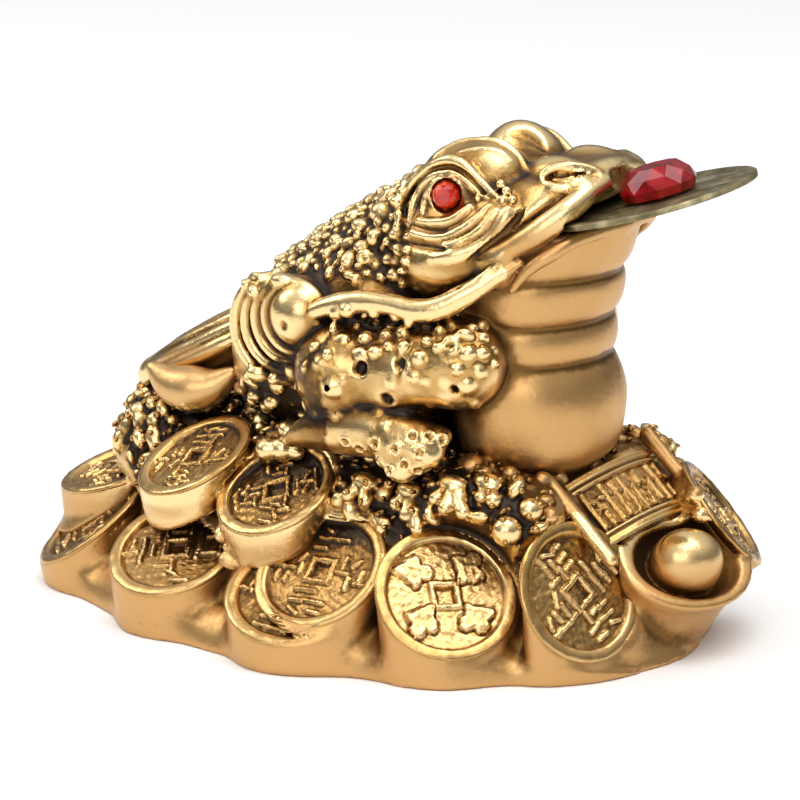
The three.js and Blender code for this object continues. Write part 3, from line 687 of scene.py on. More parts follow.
for side in SIDES:
    press(toad, egg((22.8, 3.7 * side, 52), (4.4, 2.9, 2.6), (0, 8, 0)), 0.7)
    press(toad, egg((25.4, 5.4 * side, 52.4), (2.4, 2, 1.6), (0, 14, 0)), 0.6)
    press(toad, egg((19.2, 11.3 * side, 43.6), (2.6, 1.5, 2.3), (0, -40, 0)), 0.6)
    press_lines(toad, LIPS, side, 0.3)
    press_lines(toad, JOWLS, side, 0.15)
    carve_lines(toad, MOUTH_CREASES, side, 0.2)
    lower = 0 if side == NEAR_SIDE else FAR_NOSTRIL_DROP
    nostril = [
        [(x, y + lower, z - lower, thick) for x, y, z, thick in line]
        for line in (NOSTRIL_RING, NOSTRIL_PIT, NOSTRIL_FOLD)
    ]
    press_lines(toad, nostril[:1], side, 0.15)
    carve_lines(toad, nostril[1:2], side, 0.12)
    press_lines(toad, nostril[2:], side, 0.1)
print("mouth middle, mm:", COIN_MIDDLE.round(1))

# %% [markdown]
# ## Rough skin
#
# A toad's skin has warts on its back and larger lumps on its flanks. They are eggs of uneven sizes,
# turned at random, and put at places found on the surface. They come after the large forms, because a
# wart follows the skin under it. A particle system could scatter them, but they wouldn't melt in.

# %% Warts on the back and the flanks
WART_SIZES = (0.5, 0.62, 0.8, 1.0)
WART_SHARES = (0.25, 0.35, 0.28, 0.12)


def near_knee(points, reach):
    x, y, z = points.T
    return np.sqrt((x - KNEE[0]) ** 2 + (np.abs(y) - KNEE[1]) ** 2 + (z - KNEE[2]) ** 2) < reach


def on_the_back(points, facing):
    x, y, z = points.T
    behind_the_eye = x < 8.5 - 0.25 * (z - 46)
    above_the_leg = z > 40 - 0.2 * (x + 18) * (x < -4)
    shoulder = (np.abs(y) > 11) & (x > -9) & (z < 40.6)
    return above_the_leg & behind_the_eye & ~shoulder


def turned_lump(clay, spot, out, size, dice, sunk, spread=0.35, fillet=0.1):
    radii = size * (1 + spread * dice.uniform(-1, 1, 3))
    turn = dice.uniform(-90, 90, 3)
    press(clay, egg(spot - out * sunk * size, radii, turn), fillet)


smooth_skin = toad.field.copy()
dice = np.random.default_rng(11)
spots, facing = places_on(toad, (-19, -16.5, 31), (9, 16.5, 52), 1.12, 16000, 5, on_the_back)
for spot, out in zip(spots, facing):
    size = dice.choice(WART_SIZES, p=WART_SHARES)
    turned_lump(toad, spot, out, size, dice, sunk=0.15, spread=0.45, fillet=0.12)
for side in SIDES:
    press(toad, egg((0.9, 9.3 * side, 45.6), (1.25, 0.8, 0.9), (0, 20, 0)), 0.15)
    press(toad, egg((3, 11.9 * side, 43), 0.95), 0.1)
    carve(toad, egg((3.2, 12.8 * side, 43.1), 0.5), 0.1)
    press(toad, egg((-5.6, 15.3 * side, 40), (1.3, 0.9, 0.8)), 0.2)
print("warts on the back:", len(spots))


def on_the_flank(points, facing):
    x, y, z = points.T
    return (x > -16) & (x < 2) & (z < 35 + 0.6 * x) & (z > 20.5) & ~near_knee(points, 5.6)


spots, facing = places_on(toad, (-16, -15, 20.5), (2, 15, 36), 1.9, 7000, 15, on_the_flank)
for spot, out in zip(spots, facing):
    turned_lump(toad, spot, out, dice.uniform(0.6, 1.25), dice, sunk=0.25, spread=0.5, fillet=0.15)
print("lumps on the flanks:", len(spots))

# %% [markdown]
# The arms carry softer bubbles: small round ones along the top, and wider ones sunk deep below them.
# Two bands and four pits are carved across each arm, and each hand is covered with open craters. A
# crater is an egg with a smaller one carved out of its top.

# %% Bubbles on the arms, craters on the hands
ARM_BANDS = (
    ((4.4, 16.4, 35.4, 0.2), (5.6, 17.9, 34.2, 0.35), (6.2, 18.5, 32.4, 0.5), (7, 18.5, 30.8, 0.25)),
    ((9.2, 15.8, 35.8, 0.2), (10.2, 17.4, 34.6, 0.3), (10.9, 18, 33, 0.5), (11, 18, 31.4, 0.25)),
)
ARM_PITS = ((6.2, 18.2, 32.3, 0.75), (11, 18, 33.4, 0.7), (9.2, 17.7, 29, 0.7), (16.9, 16.4, 31, 0.4))
CRATERS = (
    (12.2, 17, 25.3), (13.5, 16, 25.2), (10.6, 17.8, 24.1), (8.2, 18.3, 24.4), (4.5, 18.4, 24),
    (14.9, 15.2, 25), (11.6, 17.6, 22.5), (8.6, 17.6, 22.4), (13.1, 17, 23.8), (6.1, 18.2, 23.3),
    (10.2, 17.6, 21.6), (12.6, 16.6, 22.2),
)
ROUND_BUBBLES_FROM = 33.2  # the height from which bubbles are small and round
SUNK_BUBBLE_SHARE = 0.55


def on_the_arm(points, facing):
    x, y, z = points.T
    outer = (facing[:, 1] * np.sign(y) > 0.0) & (np.abs(y) > 11.5) & ((y < 0) | (x < 15))
    return outer & (z > 26.2) & ~near_knee(points, 5)


spots, facing = places_on(toad, (-5, -19.4, 26.5), (20.5, 19.4, 38), 1.5, 9000, 8, on_the_arm)
for spot, out in zip(spots, facing):
    if spot[2] > ROUND_BUBBLES_FROM + dice.uniform(-0.8, 0.8):
        turned_lump(toad, spot, out, dice.uniform(0.5, 0.95), dice, sunk=0.25)
    elif dice.uniform() < SUNK_BUBBLE_SHARE:
        turned_lump(toad, spot, out, dice.uniform(0.9, 1.5), dice, sunk=0.8, spread=0.25, fillet=0.15)
print("places for bubbles:", len(spots))

for side in SIDES:
    carve_lines(toad, ARM_BANDS, side, 0.3)
for side in SIDES:
    for x, y, z, radius in ARM_PITS:
        carve(toad, egg((x, y * side, z), (radius, 1.1, radius * 1.1)), 0.3)
    press(toad, egg((16.1, 15.3 * side, 35.6), 1.25), 0.15)
    carve(toad, egg((16.4, 16.5 * side, 35.8), 0.6), 0.15)
    for x, y, z in CRATERS:
        spot = np.array([[x, y * side, z]])
        for _ in range(SETTLING_STEPS):
            ahead = slope(toad, spot)
            spot = spot - ahead * (np.clip(read(toad, spot), -1, 1) / ((ahead ** 2).sum() + 0.1))
        out = slope(toad, spot)[0]
        press(toad, egg(spot[0] - out * 0.3, 0.82), 0.1)
        carve(toad, egg(spot[0] + out * 0.3, 0.55), 0.08)
print("arms and hands roughened")

# %% [markdown]
# ## The hind leg
#
# The single hind leg is ribbed along its length, as a leaf is: eight thin strokes follow it from the
# body to its rounded tip. A faint ripple over the whole toad then takes the machine look off its
# curves. It is a sum of a few long waves, much as a Displace modifier with a soft noise would give.

# %% Ribs on the hind leg, and a ripple
HIND_LEG = (
    (-14.5, 32.2, 4.7), (-19, 29.8, 5.1), (-23.4, 27.4, 5.1), (-28, 25.2, 4.5), (-31.6, 23.8, 3.0),
)
RIB_THICK = (0.6, 0.85, 0.95, 0.85, 0.6)
LEG_FLAT = 0.62
RIB_REACH = 0.97  # where a rib's middle lies, as a share of the leg's own reach

for angle in (0, 26, 52, 77, 103, 128, 154, 180):
    aside, rise = math.cos(math.radians(angle)), LEG_FLAT * math.sin(math.radians(angle))
    press(toad, stroke([
        (x, RIB_REACH * reach * aside, z + RIB_REACH * reach * rise, thick)
        for (x, z, reach), thick in zip(HIND_LEG, RIB_THICK)
    ]), 0.08)
press(toad, egg((-32.2, 0, 23.4), (2.2, 2.9, 1.9), (0, 30, 0)), 0.4)
ripple(toad, 0.05, 5.0, 3)
print("hind leg ribbed")

# %% [markdown]
# ## Slots for the coin and the stones
#
# The coin and the stones are separate trim pieces that are glued in, so the clay needs a slot, a
# clearance and two sockets for them, as the CAD casting has. They are carved last, a glue gap larger
# than what goes in, so that no wart or lip can grow back into them. The mouth is first opened a
# little wider, in the coin's own plane.

# %% Slots
FIT_GAP = 0.3
SOCKET_HALF = 1.0

carve(toad, egg((24, 0, 48.6), (7.5, 9.6, 0.9), (math.degrees(COIN_ROLL), -math.degrees(COIN_TILT), 0)), 0.2)
coin_core = COIN_MIDDLE + COIN_UP * (COIN_THICKNESS - COIN_SHEET) / 2
carve(toad, disc(coin_core, COIN_UP, COIN_RADIUS + FIT_GAP, COIN_SHEET / 2 + FIT_GAP), 0.1)
GEM_RADIUS = 4.35
GEM_HEIGHT = 3.1
gem_place = COIN_MIDDLE + COIN_AHEAD * 0.6 + COIN_UP * (COIN_THICKNESS / 2 - 0.15 + FIT_GAP)
carve(toad, disc(gem_place + COIN_UP * 1.6, COIN_UP, GEM_RADIUS + 0.4, GEM_HEIGHT / 2 + 0.4), 0.1)
for side in SIDES:
    seat, look = eye_place(side)
    carve(toad, disc(seat, look, EYE_GEM_RADIUS + FIT_GAP, SOCKET_HALF), 0.1)
print("slots carved for the coin, its stone and the eyes")

# %% [markdown]
# ## The heap
#
# Under the coins the heap is a low oval dome, with a few mounds on it that carry the nuggets. A place
# on it is given as on a cake: how many degrees round from straight ahead, what share of the way to the
# rim, and what share of the heap's height. So the coins and ingots follow when the heap is resized.

# %% The dome and places on it
HEAP_LENGTH = 79.0
HEAP_WIDTH = 55.0
HEAP_TOP = 22.0
DOME_LONG = 0.46 * HEAP_LENGTH
DOME_WIDE = 0.4 * HEAP_WIDTH
HEAP_STEP = 0.3
heap = Clay((-44.6, -29.6, -1.2), (42.2, 28.4, 30), HEAP_STEP)


def on_heap(turn, reach, height):
    turn = math.radians(turn)
    return np.array([
        HEAP_LENGTH / 2 * reach * math.cos(turn), HEAP_WIDTH / 2 * reach * math.sin(turn),
        HEAP_TOP * height,
    ])


def outward(turn, lift, swing=0.0):
    turn = math.radians(turn)
    lift = math.radians(lift)
    about = math.atan2(math.sin(turn) / HEAP_WIDTH, math.cos(turn) / HEAP_LENGTH) + math.radians(swing)
    return np.array([math.cos(lift) * math.cos(about), math.cos(lift) * math.sin(about), math.sin(lift)])


def face_axes(facing, spin):
    turn = Vector((0, 0, 1)).rotation_difference(Vector(facing)).to_matrix()
    spin = math.radians(spin)
    first = turn @ Vector((math.cos(spin), math.sin(spin), 0))
    second = turn @ Vector((-math.sin(spin), math.cos(spin), 0))
    return np.array(first), np.array(second)


def heap_dome(x, y, z):
    reach = np.sqrt((x / DOME_LONG) ** 2 + (y / DOME_WIDE) ** 2)
    top = HEAP_TOP * (1 - np.minimum(reach, 0.999) ** 5) ** 1.2
    lean_x, lean_y = np.gradient(top[:, :, 0], heap.step)
    steep = np.sqrt(1 + lean_x ** 2 + lean_y ** 2)[:, :, None]
    return np.maximum((z - top) / steep, (reach - 1) * 18)


press(heap, (np.array([-38, -23, -1.2]), np.array([38, 23, 23.0]), heap_dome))
MOUNDS = (
    (-38, 0.54, 0.72, 9.5, 8.25, 5.4), (36, 0.64, 0.58, 10, 9.35, 8.4), (12, 0.62, 0.4, 6.7, 10.45, 8.6),
    (180, 0.69, 0.66, 9.3, 9.35, 9.2), (-118, 0.44, 0.8, 4.3, 3.6, 4.8),
)
for turn, reach, height, *radii in MOUNDS:
    press(heap, egg(on_heap(turn, reach, height), radii), 1.5)
print("clay points in the heap:", heap.field.size)

# %% [markdown]
# ## Coin blocks
#
# Each coin of the heap is cast as a block: it starts at the coin's tilted rim and goes straight down
# to the ground, a little narrower at its foot. The blocks melt into each other with a fillet that is
# wider near the ground, which leaves the soft valleys of the real one. The first two coins have a
# niche cleared above them, and every coin gets a shallow pan, which its fine face fills later.

# %% Coin blocks
EDGE_FILLET = 0.6


def block(place, facing, radii, spin, taper, inward, footing):
    first, second = face_axes(facing, spin)
    plan = np.array([first[:2] * radii[0], second[:2] * radii[1]]).T
    back = np.linalg.inv(plan)
    spread = max(radii)
    sunk = inward * (facing[0] * place[0] + facing[1] * place[1]) / facing[2]
    foot = -1 if footing is None else place[2] - footing - spread

    def distance(x, y, z):
        dx, dy = x - place[0], y - place[1]
        face = place[2] - (facing[0] * dx + facing[1] * dy) / facing[2]
        depth = footing + sunk if footing is not None else np.maximum(face + 1, 2)
        share = np.clip((face - z) / depth, 0, 1)
        cx, cy = dx + place[0] * inward * share, dy + place[1] * inward * share
        u = back[0, 0] * cx + back[0, 1] * cy
        v = back[1, 0] * cx + back[1, 1] * cy
        away = np.sqrt(u * u + v * v) + 1e-4
        wall = (1 - (1 - (1 - taper) * share) / away) * np.sqrt(cx * cx + cy * cy + TINY)
        value = soft_upper(wall, (z - face) * facing[2], EDGE_FILLET)
        if footing is not None:
            value = soft_upper(value, (face - footing - sunk - z) * facing[2], EDGE_FILLET)
        return value

    low = np.array([place[0] - spread - 1, place[1] - spread - 1, max(foot, -1.2)])
    return low, place + spread + 1, distance


LOWER_RADIUS = 7.75
UPPER_RADIUS = 7.0
COIN_TAPER = 0.86
ON_THE_GROUND = (LOWER_RADIUS, 0, None)
ON_THE_HEAP = (UPPER_RADIUS, 0, 5)
# turn, reach, height, lift, swing, spin, radius, inward, footing
COINS = (
    (-27.5, 0.84, 0.42, 25, 15, 10, *ON_THE_GROUND),
    (-57, 0.82, 0.42, 41, 21, 45, *ON_THE_GROUND),
    (-84.5, 0.77, 0.47, 48, -7, 0, *ON_THE_GROUND),
    (-89, 0.81, 0.34, 60, 20, 0, *ON_THE_GROUND),
    (-123.5, 0.81, 0.42, 60, 25, 20, *ON_THE_GROUND),
    (-161, 0.967, 0.34, 52.5, 12, 30, *ON_THE_GROUND),
    (-175.3, 0.92, 0.566, 72, 33, 0, *ON_THE_GROUND),
    (-131.5, 0.69, 0.85, 60.5, 4, 0, *ON_THE_HEAP),
    (-103.5, 0.62, 0.78, 56, 2, 25, *ON_THE_HEAP),
    (26, 0.975, 0.62, 38.5, -6.5, 0, UPPER_RADIUS, 0.2, 7),
    (150, 0.9, 0.4, 55, -10, 0, *ON_THE_GROUND),
    (118, 0.84, 0.4, 55, -10, 15, *ON_THE_GROUND),
    (88, 0.8, 0.4, 50, 0, 0, *ON_THE_GROUND),
    (59, 0.84, 0.4, 42, 0, 30, *ON_THE_GROUND),
    (33, 0.79, 0.34, 44, 0, 0, *ON_THE_GROUND),
)
CLEARED_COINS = COINS[:2]
FOOT_RADII = (2.6, 4.6, 4.6, 4.6, 4.6, 4.6)


def wider_below(z):
    return 0.5 + 3.0 * np.clip((9 - z) / 7, 0, 1)


for row in COINS:
    turn, reach, height, lift, swing, spin, radius, inward, footing = row
    place = on_heap(turn, reach, height)
    facing = outward(turn, lift, swing)
    press(heap, block(place, facing, (radius, radius), spin, COIN_TAPER, inward, footing), wider_below)
    if row in CLEARED_COINS:
        carve(heap, disc(place + facing * 2.7, facing, radius + 0.2, 2.6), 0.5)
    carve(heap, disc(place - facing * 0.3, facing, radius - 0.5, 0.75), 0.1)

feet = [(*on_heap(turn, reach, 0), radius) for (turn, reach, *_), radius in zip(COINS, FOOT_RADII)]
for foot, other in zip(feet, feet[1:]):
    press(heap, stroke([foot, other], parts=1), 1.8)
print("coin blocks:", len(COINS))

# %% [markdown]
# ## Ingots
#
# Two boat-shaped ingots lie among the coins. The front one is an oval bowl with a round lump in it: a
# block like a coin's, hollowed by one egg and filled by another. The back one is seen only as a small
# smooth boat beside the hind leg, so one thick stroke with raised ends is enough for it.

# %% Ingots
BOWL_TAPER = 0.62
BOWL_INWARD = 0.12
ingot_place = on_heap(4, 0.903, 0.48)
ingot_facing = outward(4, 48, -30)
ingot_long, ingot_wide = face_axes(ingot_facing, 60)
ingot_turn = np.array([ingot_long, ingot_wide, ingot_facing]).T


def lying(place, axes, offset, radii):
    middle = place + axes @ np.array(offset, float)
    return middle - max(radii), middle + max(radii), egg_distance(middle, axes, radii)


press(heap, block(ingot_place, ingot_facing, (8.4, 6.2), 60, BOWL_TAPER, BOWL_INWARD, None), 0.8)
carve(heap, lying(ingot_place, ingot_turn, (0, 0, 0.3), (6.5, 4.9, 3.1)), 0.5)
press(heap, lying(ingot_place, ingot_turn, (0, 0, -0.4), (4.2, 3.6, 4.1)), 0.15)

boat_place = on_heap(-157, 0.64, 1.15)
boat_long, _ = face_axes(outward(-157, 76, 62), 8)
boat_line = (boat_place - 5 * boat_long, boat_place + 5 * boat_long)
# along the boat, up and thick, from its stern to its bow
BOAT_ROWS = ((-5, 0.6, 0.8), (-2.5, -1.0, 2), (0, -1.5, 2.7), (2.5, -1.0, 2), (5, 0.8, 0.8))
BOAT_SUNK = (0, 0, -1.2)  # from the line between its tips to its belly
press(heap, stroke([
    (*(boat_place + boat_long * along + np.array([0, 0, rise])), thick)
    for along, rise, thick in BOAT_ROWS
]), 0.3)
print("ingots at", ingot_place.round(1), boat_place.round(1))

# %% [markdown]
# ## Rods of the scroll
#
# A short scroll lies open beside the front ingot, and its sheet is rolled on two rods that stick out
# at both ends. The rods are pressed into the clay here. The sheet carries marks that are too fine for
# the clay, so it comes later as a mesh of its own.

# %% Rods of the scroll
SCROLL_ARCH = 7.9  # half the sheet's width, from rod to rod
SCROLL_LENGTH = 8.6
SCROLL_ROD = 0.8
SCROLL_SPIN = -11
ROD_REACH = 0.65  # half a rod's length, as a share of the sheet's
scroll_place = on_heap(5, 0.715, 0.755)
scroll_facing = outward(10, 48, -37)
scroll_ahead, scroll_across = face_axes(scroll_facing, SCROLL_SPIN)


def on_scroll(ahead, across, rise):
    return scroll_place + scroll_ahead * ahead + scroll_across * across + scroll_facing * rise


rod_ends = []
for end, clear in ((-1, (0.9, -1.4, 0.4)), (1, (0.2, -0.3, 0.4))):
    rod = [
        on_scroll(ahead, end * SCROLL_ARCH, 0.02 * SCROLL_ARCH) + clear
        for ahead in (-ROD_REACH * SCROLL_LENGTH, 0, ROD_REACH * SCROLL_LENGTH)
    ]
    press(heap, stroke([(*place, SCROLL_ROD) for place in rod], parts=2), 0.15)
    rod_ends.append((rod[0], rod[-1]))
print("rods of the scroll:", len(rod_ends))

# %% [markdown]
# ## Rubble between the coins
#
# Beads, nuggets with two or three lobes and small uneven chunks fill the gaps of the heap. First come
# their places: beads and nuggets are set one by one, as they are in the photograph, and the chunks
# keep to beds on the mounds, clear of the coins, the ingots, the scroll and what was listed.

# %% Where the rubble lies
BEADS = (
    (23, -15.4, 16.1, 1.7), (24.3, -12.8, 18, 1.4), (20.3, -10.3, 20.8, 1.0), (22.7, -7.4, 19.9, 1.0),
    (-13.3, -7.5, 21.2, 1.4), (-21.9, -0.5, 22, 1.1), (34.2, 5.7, 16.9, 1.1), (35.2, 5.2, 14.9, 1.0),
    (21.3, 7.2, 21.3, 1.6), (26.2, 11.8, 19.8, 1.6), (-33.7, -2.9, 19.8, 1.4), (-34.5, -2.9, 17.2, 1.4),
    (-35.2, -3.4, 14.5, 1.4), (-33.3, 5.8, 15.8, 1.4), (-30.8, -6.5, 20.1, 1.2), (-27.9, -7.6, 19.8, 1.0),
)
NUGGETS = (
    ((10.4, -14.0, 18.4), (10.8, -15.7, 16.0), (12.6, -16.4, 15.0), (9.2, -15.2, 16.9)),
    ((15.9, -14.4, 19.9), (16.3, -16.6, 17.8), (18.3, -16.4, 17.6), (14.4, -15.6, 18.4)),
    ((19.4, -13.0, 20.3), (21.0, -14.6, 18.9), (19.4, -14.4, 18.9)),
    ((4.6, -14.2, 18.6), (3.4, -15.6, 17.2), (5.6, -15.7, 16.9)),
    ((15.1, 14.2, 18.6), (16.4, 15.9, 16.9), (14.2, 16.2, 16.6)),
)

# turn and reach of a bed's middle on the heap, and half its length and width in mm
GRAIN_BEDS = (
    (-46, 0.64, 8.5, 10), (-112, 0.52, 6, 8), (28, 0.7, 9, 10), (-172, 0.78, 8, 8), (-150, 0.6, 7, 8),
    (60, 0.6, 8, 8), (10, 0.62, 9, 7), (-70, 0.55, 7, 6), (95, 0.6, 9, 6), (125, 0.62, 9, 7),
    (152, 0.64, 8, 7),
)
LOWEST_BED = 8.5
BOAT_CLEARANCE = 3
ROD_CLEARANCE = 1.9
BEAD_CLEARANCE = 0.6
LOBE_CLEARANCE = 1.7


def from_line(points, first, last):
    ahead = last - first
    share = np.clip((points - first) @ ahead / (ahead @ ahead), 0, 1)
    return np.linalg.norm(points - first - share[:, None] * ahead, axis=1)


def on_bed(points):
    x, y, z = points.T
    kept = np.zeros(len(points), bool)
    for turn, reach, long, wide in GRAIN_BEDS:
        middle = on_heap(turn, reach, 0)
        kept |= ((x - middle[0]) / long) ** 2 + ((y - middle[1]) / wide) ** 2 < 1
    kept &= z > LOWEST_BED
    for turn, reach, height, lift, swing, _, radius, _, _ in COINS:
        offset = points - on_heap(turn, reach, height)
        rise = offset @ outward(turn, lift, swing)
        away = np.sqrt(np.maximum((offset ** 2).sum(axis=1) - rise ** 2, 0))
        kept &= ~((away < radius + 0.4) & (rise > -3) & (rise < 4))
    offset = (points - ingot_place) @ ingot_turn
    kept &= ((offset[:, 0] / 8.9) ** 2 + (offset[:, 1] / 6.7) ** 2 > 1) | (offset[:, 2] > 5)
    kept &= from_line(points - BOAT_SUNK, *boat_line) > BOAT_CLEARANCE
    local = (points - scroll_place) @ np.array([scroll_ahead, scroll_across, scroll_facing]).T
    kept &= (np.abs(local[:, 0]) > 5.8) | (np.abs(local[:, 1]) > 9)
    for first, last in rod_ends:
        kept &= from_line(points, first, last) > ROD_CLEARANCE
    return kept


def clear_of_lumps(points):
    kept = on_bed(points)
    for x, y, z, radius in BEADS:
        kept &= ((points - [x, y, z]) ** 2).sum(axis=1) > (radius + BEAD_CLEARANCE) ** 2
    for spot in (place for nugget in NUGGETS for place in nugget):
        kept &= ((points - spot) ** 2).sum(axis=1) > LOBE_CLEARANCE ** 2
    return kept


print("set by hand:", len(BEADS), "beads and", len(NUGGETS), "nuggets")

# %% [markdown]
# The chunks are pressed on first, then ten listed lumps in bare strips, the beads and the nuggets. A
# nugget is a cap with a thick stroke to each lobe, so it reads as one melted drop. The finest grains
# come later, from Geometry Nodes, because they are too many for the clay.

# %% Chunks, beads and nuggets
CHUNK_SIZES = (0.65, 0.95, 1.3)
CHUNK_SHARES = (0.35, 0.4, 0.25)
STRIP_LUMPS = (
    (1.1, -16.4, 15.9), (2.6, -16.0, 16.6), (4.1, -16.2, 16.0), (5.4, -15.8, 16.4), (6.9, -16.0, 15.6),
    (8.2, -16.2, 14.9), (-10.3, -19.8, 12.1), (-8.6, -13.6, 20.3), (-7.0, -13.2, 20.4),
    (-5.6, -12.8, 20.4),
)
STRIP_OUT = np.array([0.2, -0.7, 0.6])
NUGGET_OUT = (0.3, 0.75, 0.35)

bare_heap = heap.field.copy()
dice = np.random.default_rng(21)
spots, facing = places_on(
    heap, (-36, -24, LOWEST_BED), (37, 24, 26), 1.6, 26000, 12,
    lambda points, facing: clear_of_lumps(points))
for spot, out in zip(spots, facing):
    size = dice.choice(CHUNK_SIZES, p=CHUNK_SHARES)
    turned_lump(heap, spot, out, size, dice, sunk=0.12, spread=0.5, fillet=0.12)
for spot in STRIP_LUMPS:
    size = dice.uniform(0.8, 1.2)
    turned_lump(heap, np.array(spot), STRIP_OUT, size, dice, sunk=0.1, spread=0.45, fillet=0.15)
print("chunks on the heap:", len(spots))

for x, y, z, radius in BEADS:
    press(heap, egg((x, y, z), radius), 0.1)
for cap, *lobes in NUGGETS:
    out = np.array(NUGGET_OUT) * (1, np.sign(cap[1]), 1)
    cap = np.array(cap) + out
    press(heap, egg(cap, (1.7, 1.3, 1.0), (0, 12, 0)), 0.12)
    for lobe in lobes:
        end = np.array(lobe) + out
        press(heap, stroke([(*cap, 0.7), (*(0.5 * cap + 0.5 * end), 0.75), (*end, 0.85)]), 0.06)
ripple(heap, 0.05, 6.0, 9)
part, (x, y, z) = heap.window(heap.low, (50, 50, 1.5))
heap.field[part] = np.maximum(heap.field[part], -z)
print("beads and nuggets:", len(BEADS), len(NUGGETS))

# %% [markdown]
# ## A skin for the clay
#
# The clay becomes a mesh by surface nets: each small cube that the surface passes through gets one
# point, at the middle of the places where the surface crosses its edges, and neighbouring cubes are
# joined by quads. It keeps round forms rounder than plain voxels do. Blender's Decimate modifier then
# takes out faces where the surface is smooth, so the piece stays light.

# %% Surface nets
def skin(clay):
    field = clay.field
    inside = field < 0
    corners = np.array([(i, j, k) for i in (0, 1) for j in (0, 1) for k in (0, 1)])
    size = np.array(field.shape) - 1
    count = np.zeros(size, np.uint8)
    for i, j, k in corners:
        count += inside[i:i + size[0], j:j + size[1], k:k + size[2]]
    mixed = (count > 0) & (count < 8)
    cells = np.argwhere(mixed)
    number = np.full(mixed.shape, -1, np.int32)
    number[mixed] = np.arange(len(cells))
    values = [field[tuple((cells + corner).T)] for corner in corners]
    total = np.zeros((len(cells), 3))
    hits = np.zeros(len(cells))
    for i, a in enumerate(corners):
        for j in range(i + 1, 8):
            b = corners[j]
            if np.abs(a - b).sum() != 1:
                continue
            crossed = (values[i] < 0) != (values[j] < 0)
            share = values[i][crossed] / (values[i][crossed] - values[j][crossed])
            total[crossed] += a + share[:, None] * (b - a)
            hits += crossed
    points = clay.low + clay.step * (cells + total / hits[:, None])
    faces = []
    for axis in range(3):
        first = [slice(None)] * 3
        second = [slice(None)] * 3
        first[axis] = slice(0, -1)
        second[axis] = slice(1, None)
        places = np.argwhere(inside[tuple(first)] != inside[tuple(second)])
        right, up = np.eye(3, dtype=int)[[(axis + 1) % 3, (axis + 2) % 3]]
        places = places[(places >= right + up).all(axis=1) & (places < size).all(axis=1)]
        quads = np.stack([
            number[tuple((places - back).T)] for back in (right + up, up, 0 * up, right)
        ], axis=1)
        turned = ~inside[tuple(places.T)]
        quads[turned] = quads[turned][:, ::-1]
        faces.append(quads)
    return points, np.vstack(faces)


for clay_name, clay in (("toad", toad), ("heap", heap)):
    print("skin crosses", int(np.diff(clay.field < 0, axis=2).sum()), "upright edges of the", clay_name)

# %% [markdown]
# ## Clean and light meshes
#
# A carved form can leave a crumb that touches nothing, so only the largest connected part is kept.
# The points and faces are handed to Blender in whole arrays, which is far quicker than one by one. A
# Decimate modifier brings each piece under its limit, and its result is kept as a plain mesh.

# %% The toad and the heap as meshes
TRIANGLE_LIMIT = 190000


def largest_part(points, faces):
    label = np.arange(len(points))
    while True:
        lowest = label[faces].min(axis=1)
        update = label.copy()
        for corner in range(faces.shape[1]):
            np.minimum.at(update, faces[:, corner], lowest)
        update = update[update]
        if (update == label).all():
            break
        label = update
    main = np.bincount(label).argmax()
    kept = label == main
    number = np.cumsum(kept) - 1
    return points[kept], number[faces[kept[faces[:, 0]]]]


def mesh_of(name, points, faces, smooth=True):
    mesh = bpy.data.meshes.new(name)
    mesh.vertices.add(len(points))
    mesh.vertices.foreach_set("co", (points * MM).astype(np.float32).ravel())
    mesh.loops.add(faces.size)
    mesh.loops.foreach_set("vertex_index", faces.astype(np.int32).ravel())
    mesh.polygons.add(len(faces))
    mesh.polygons.foreach_set("loop_start", np.arange(len(faces), dtype=np.int32) * faces.shape[1])
    mesh.polygons.foreach_set("use_smooth", np.full(len(faces), smooth))
    mesh.update(calc_edges=True)
    return mesh


def new_piece(name, mesh):
    piece = bpy.data.objects.new(name, mesh)
    bpy.context.scene.collection.objects.link(piece)
    return piece


def lighter(piece, most_triangles):
    count = sum(len(face.vertices) - 2 for face in piece.data.polygons)
    if count <= most_triangles:
        return
    modifier = piece.modifiers.new("lighter", "DECIMATE")
    modifier.ratio = most_triangles / count
    graph = bpy.context.evaluated_depsgraph_get()
    mesh = bpy.data.meshes.new_from_object(piece.evaluated_get(graph))
    piece.modifiers.clear()
    piece.data = mesh


toad_piece = new_piece("toad", mesh_of("toad", *largest_part(*skin(toad))))
heap_points, heap_faces = largest_part(*skin(heap))
heap_piece = new_piece("heap", mesh_of("heap", heap_points, heap_faces))
print("quads before thinning:", len(toad_piece.data.polygons), len(heap_piece.data.polygons))
lighter(toad_piece, TRIANGLE_LIMIT)
lighter(heap_piece, TRIANGLE_LIMIT)
print("faces after thinning:", len(toad_piece.data.polygons), len(heap_piece.data.polygons))

# %% [markdown]
# ## Where the dark wash and the painted shade go
#
# After the gold, a thin dark paint is brushed on and wiped off, so it stays in hollows. A point in a
# hollow has more clay round it than a point on a ridge. So the clay is blurred at three sizes, and
# each point of a mesh will read how crowded it is. The widest blur counts the table as solid, so it
# also gives painted shade in the gaps between large forms and near the table. Blender's ambient
# occlusion node could find hollows too, but it costs render time and isn't kept when the model is
# exported.

# %% Crowding
def blurred(values, width):
    reach = int(2.5 * width) + 1
    weights = np.exp(-0.5 * (np.arange(-reach, reach + 1) / width) ** 2)
    weights = (weights / weights.sum()).astype(np.float32)
    for axis in range(3):
        wide = np.pad(values, [(reach, reach) if i == axis else (0, 0) for i in range(3)])
        values = np.zeros_like(values)
        for i, weight in enumerate(weights):
            part = [slice(None)] * 3
            part[axis] = slice(i, i + values.shape[axis])
            values += weight * wide[tuple(part)]
    return values


def filled(clay):
    return np.clip(0.5 - clay.field / clay.step, 0, 1)


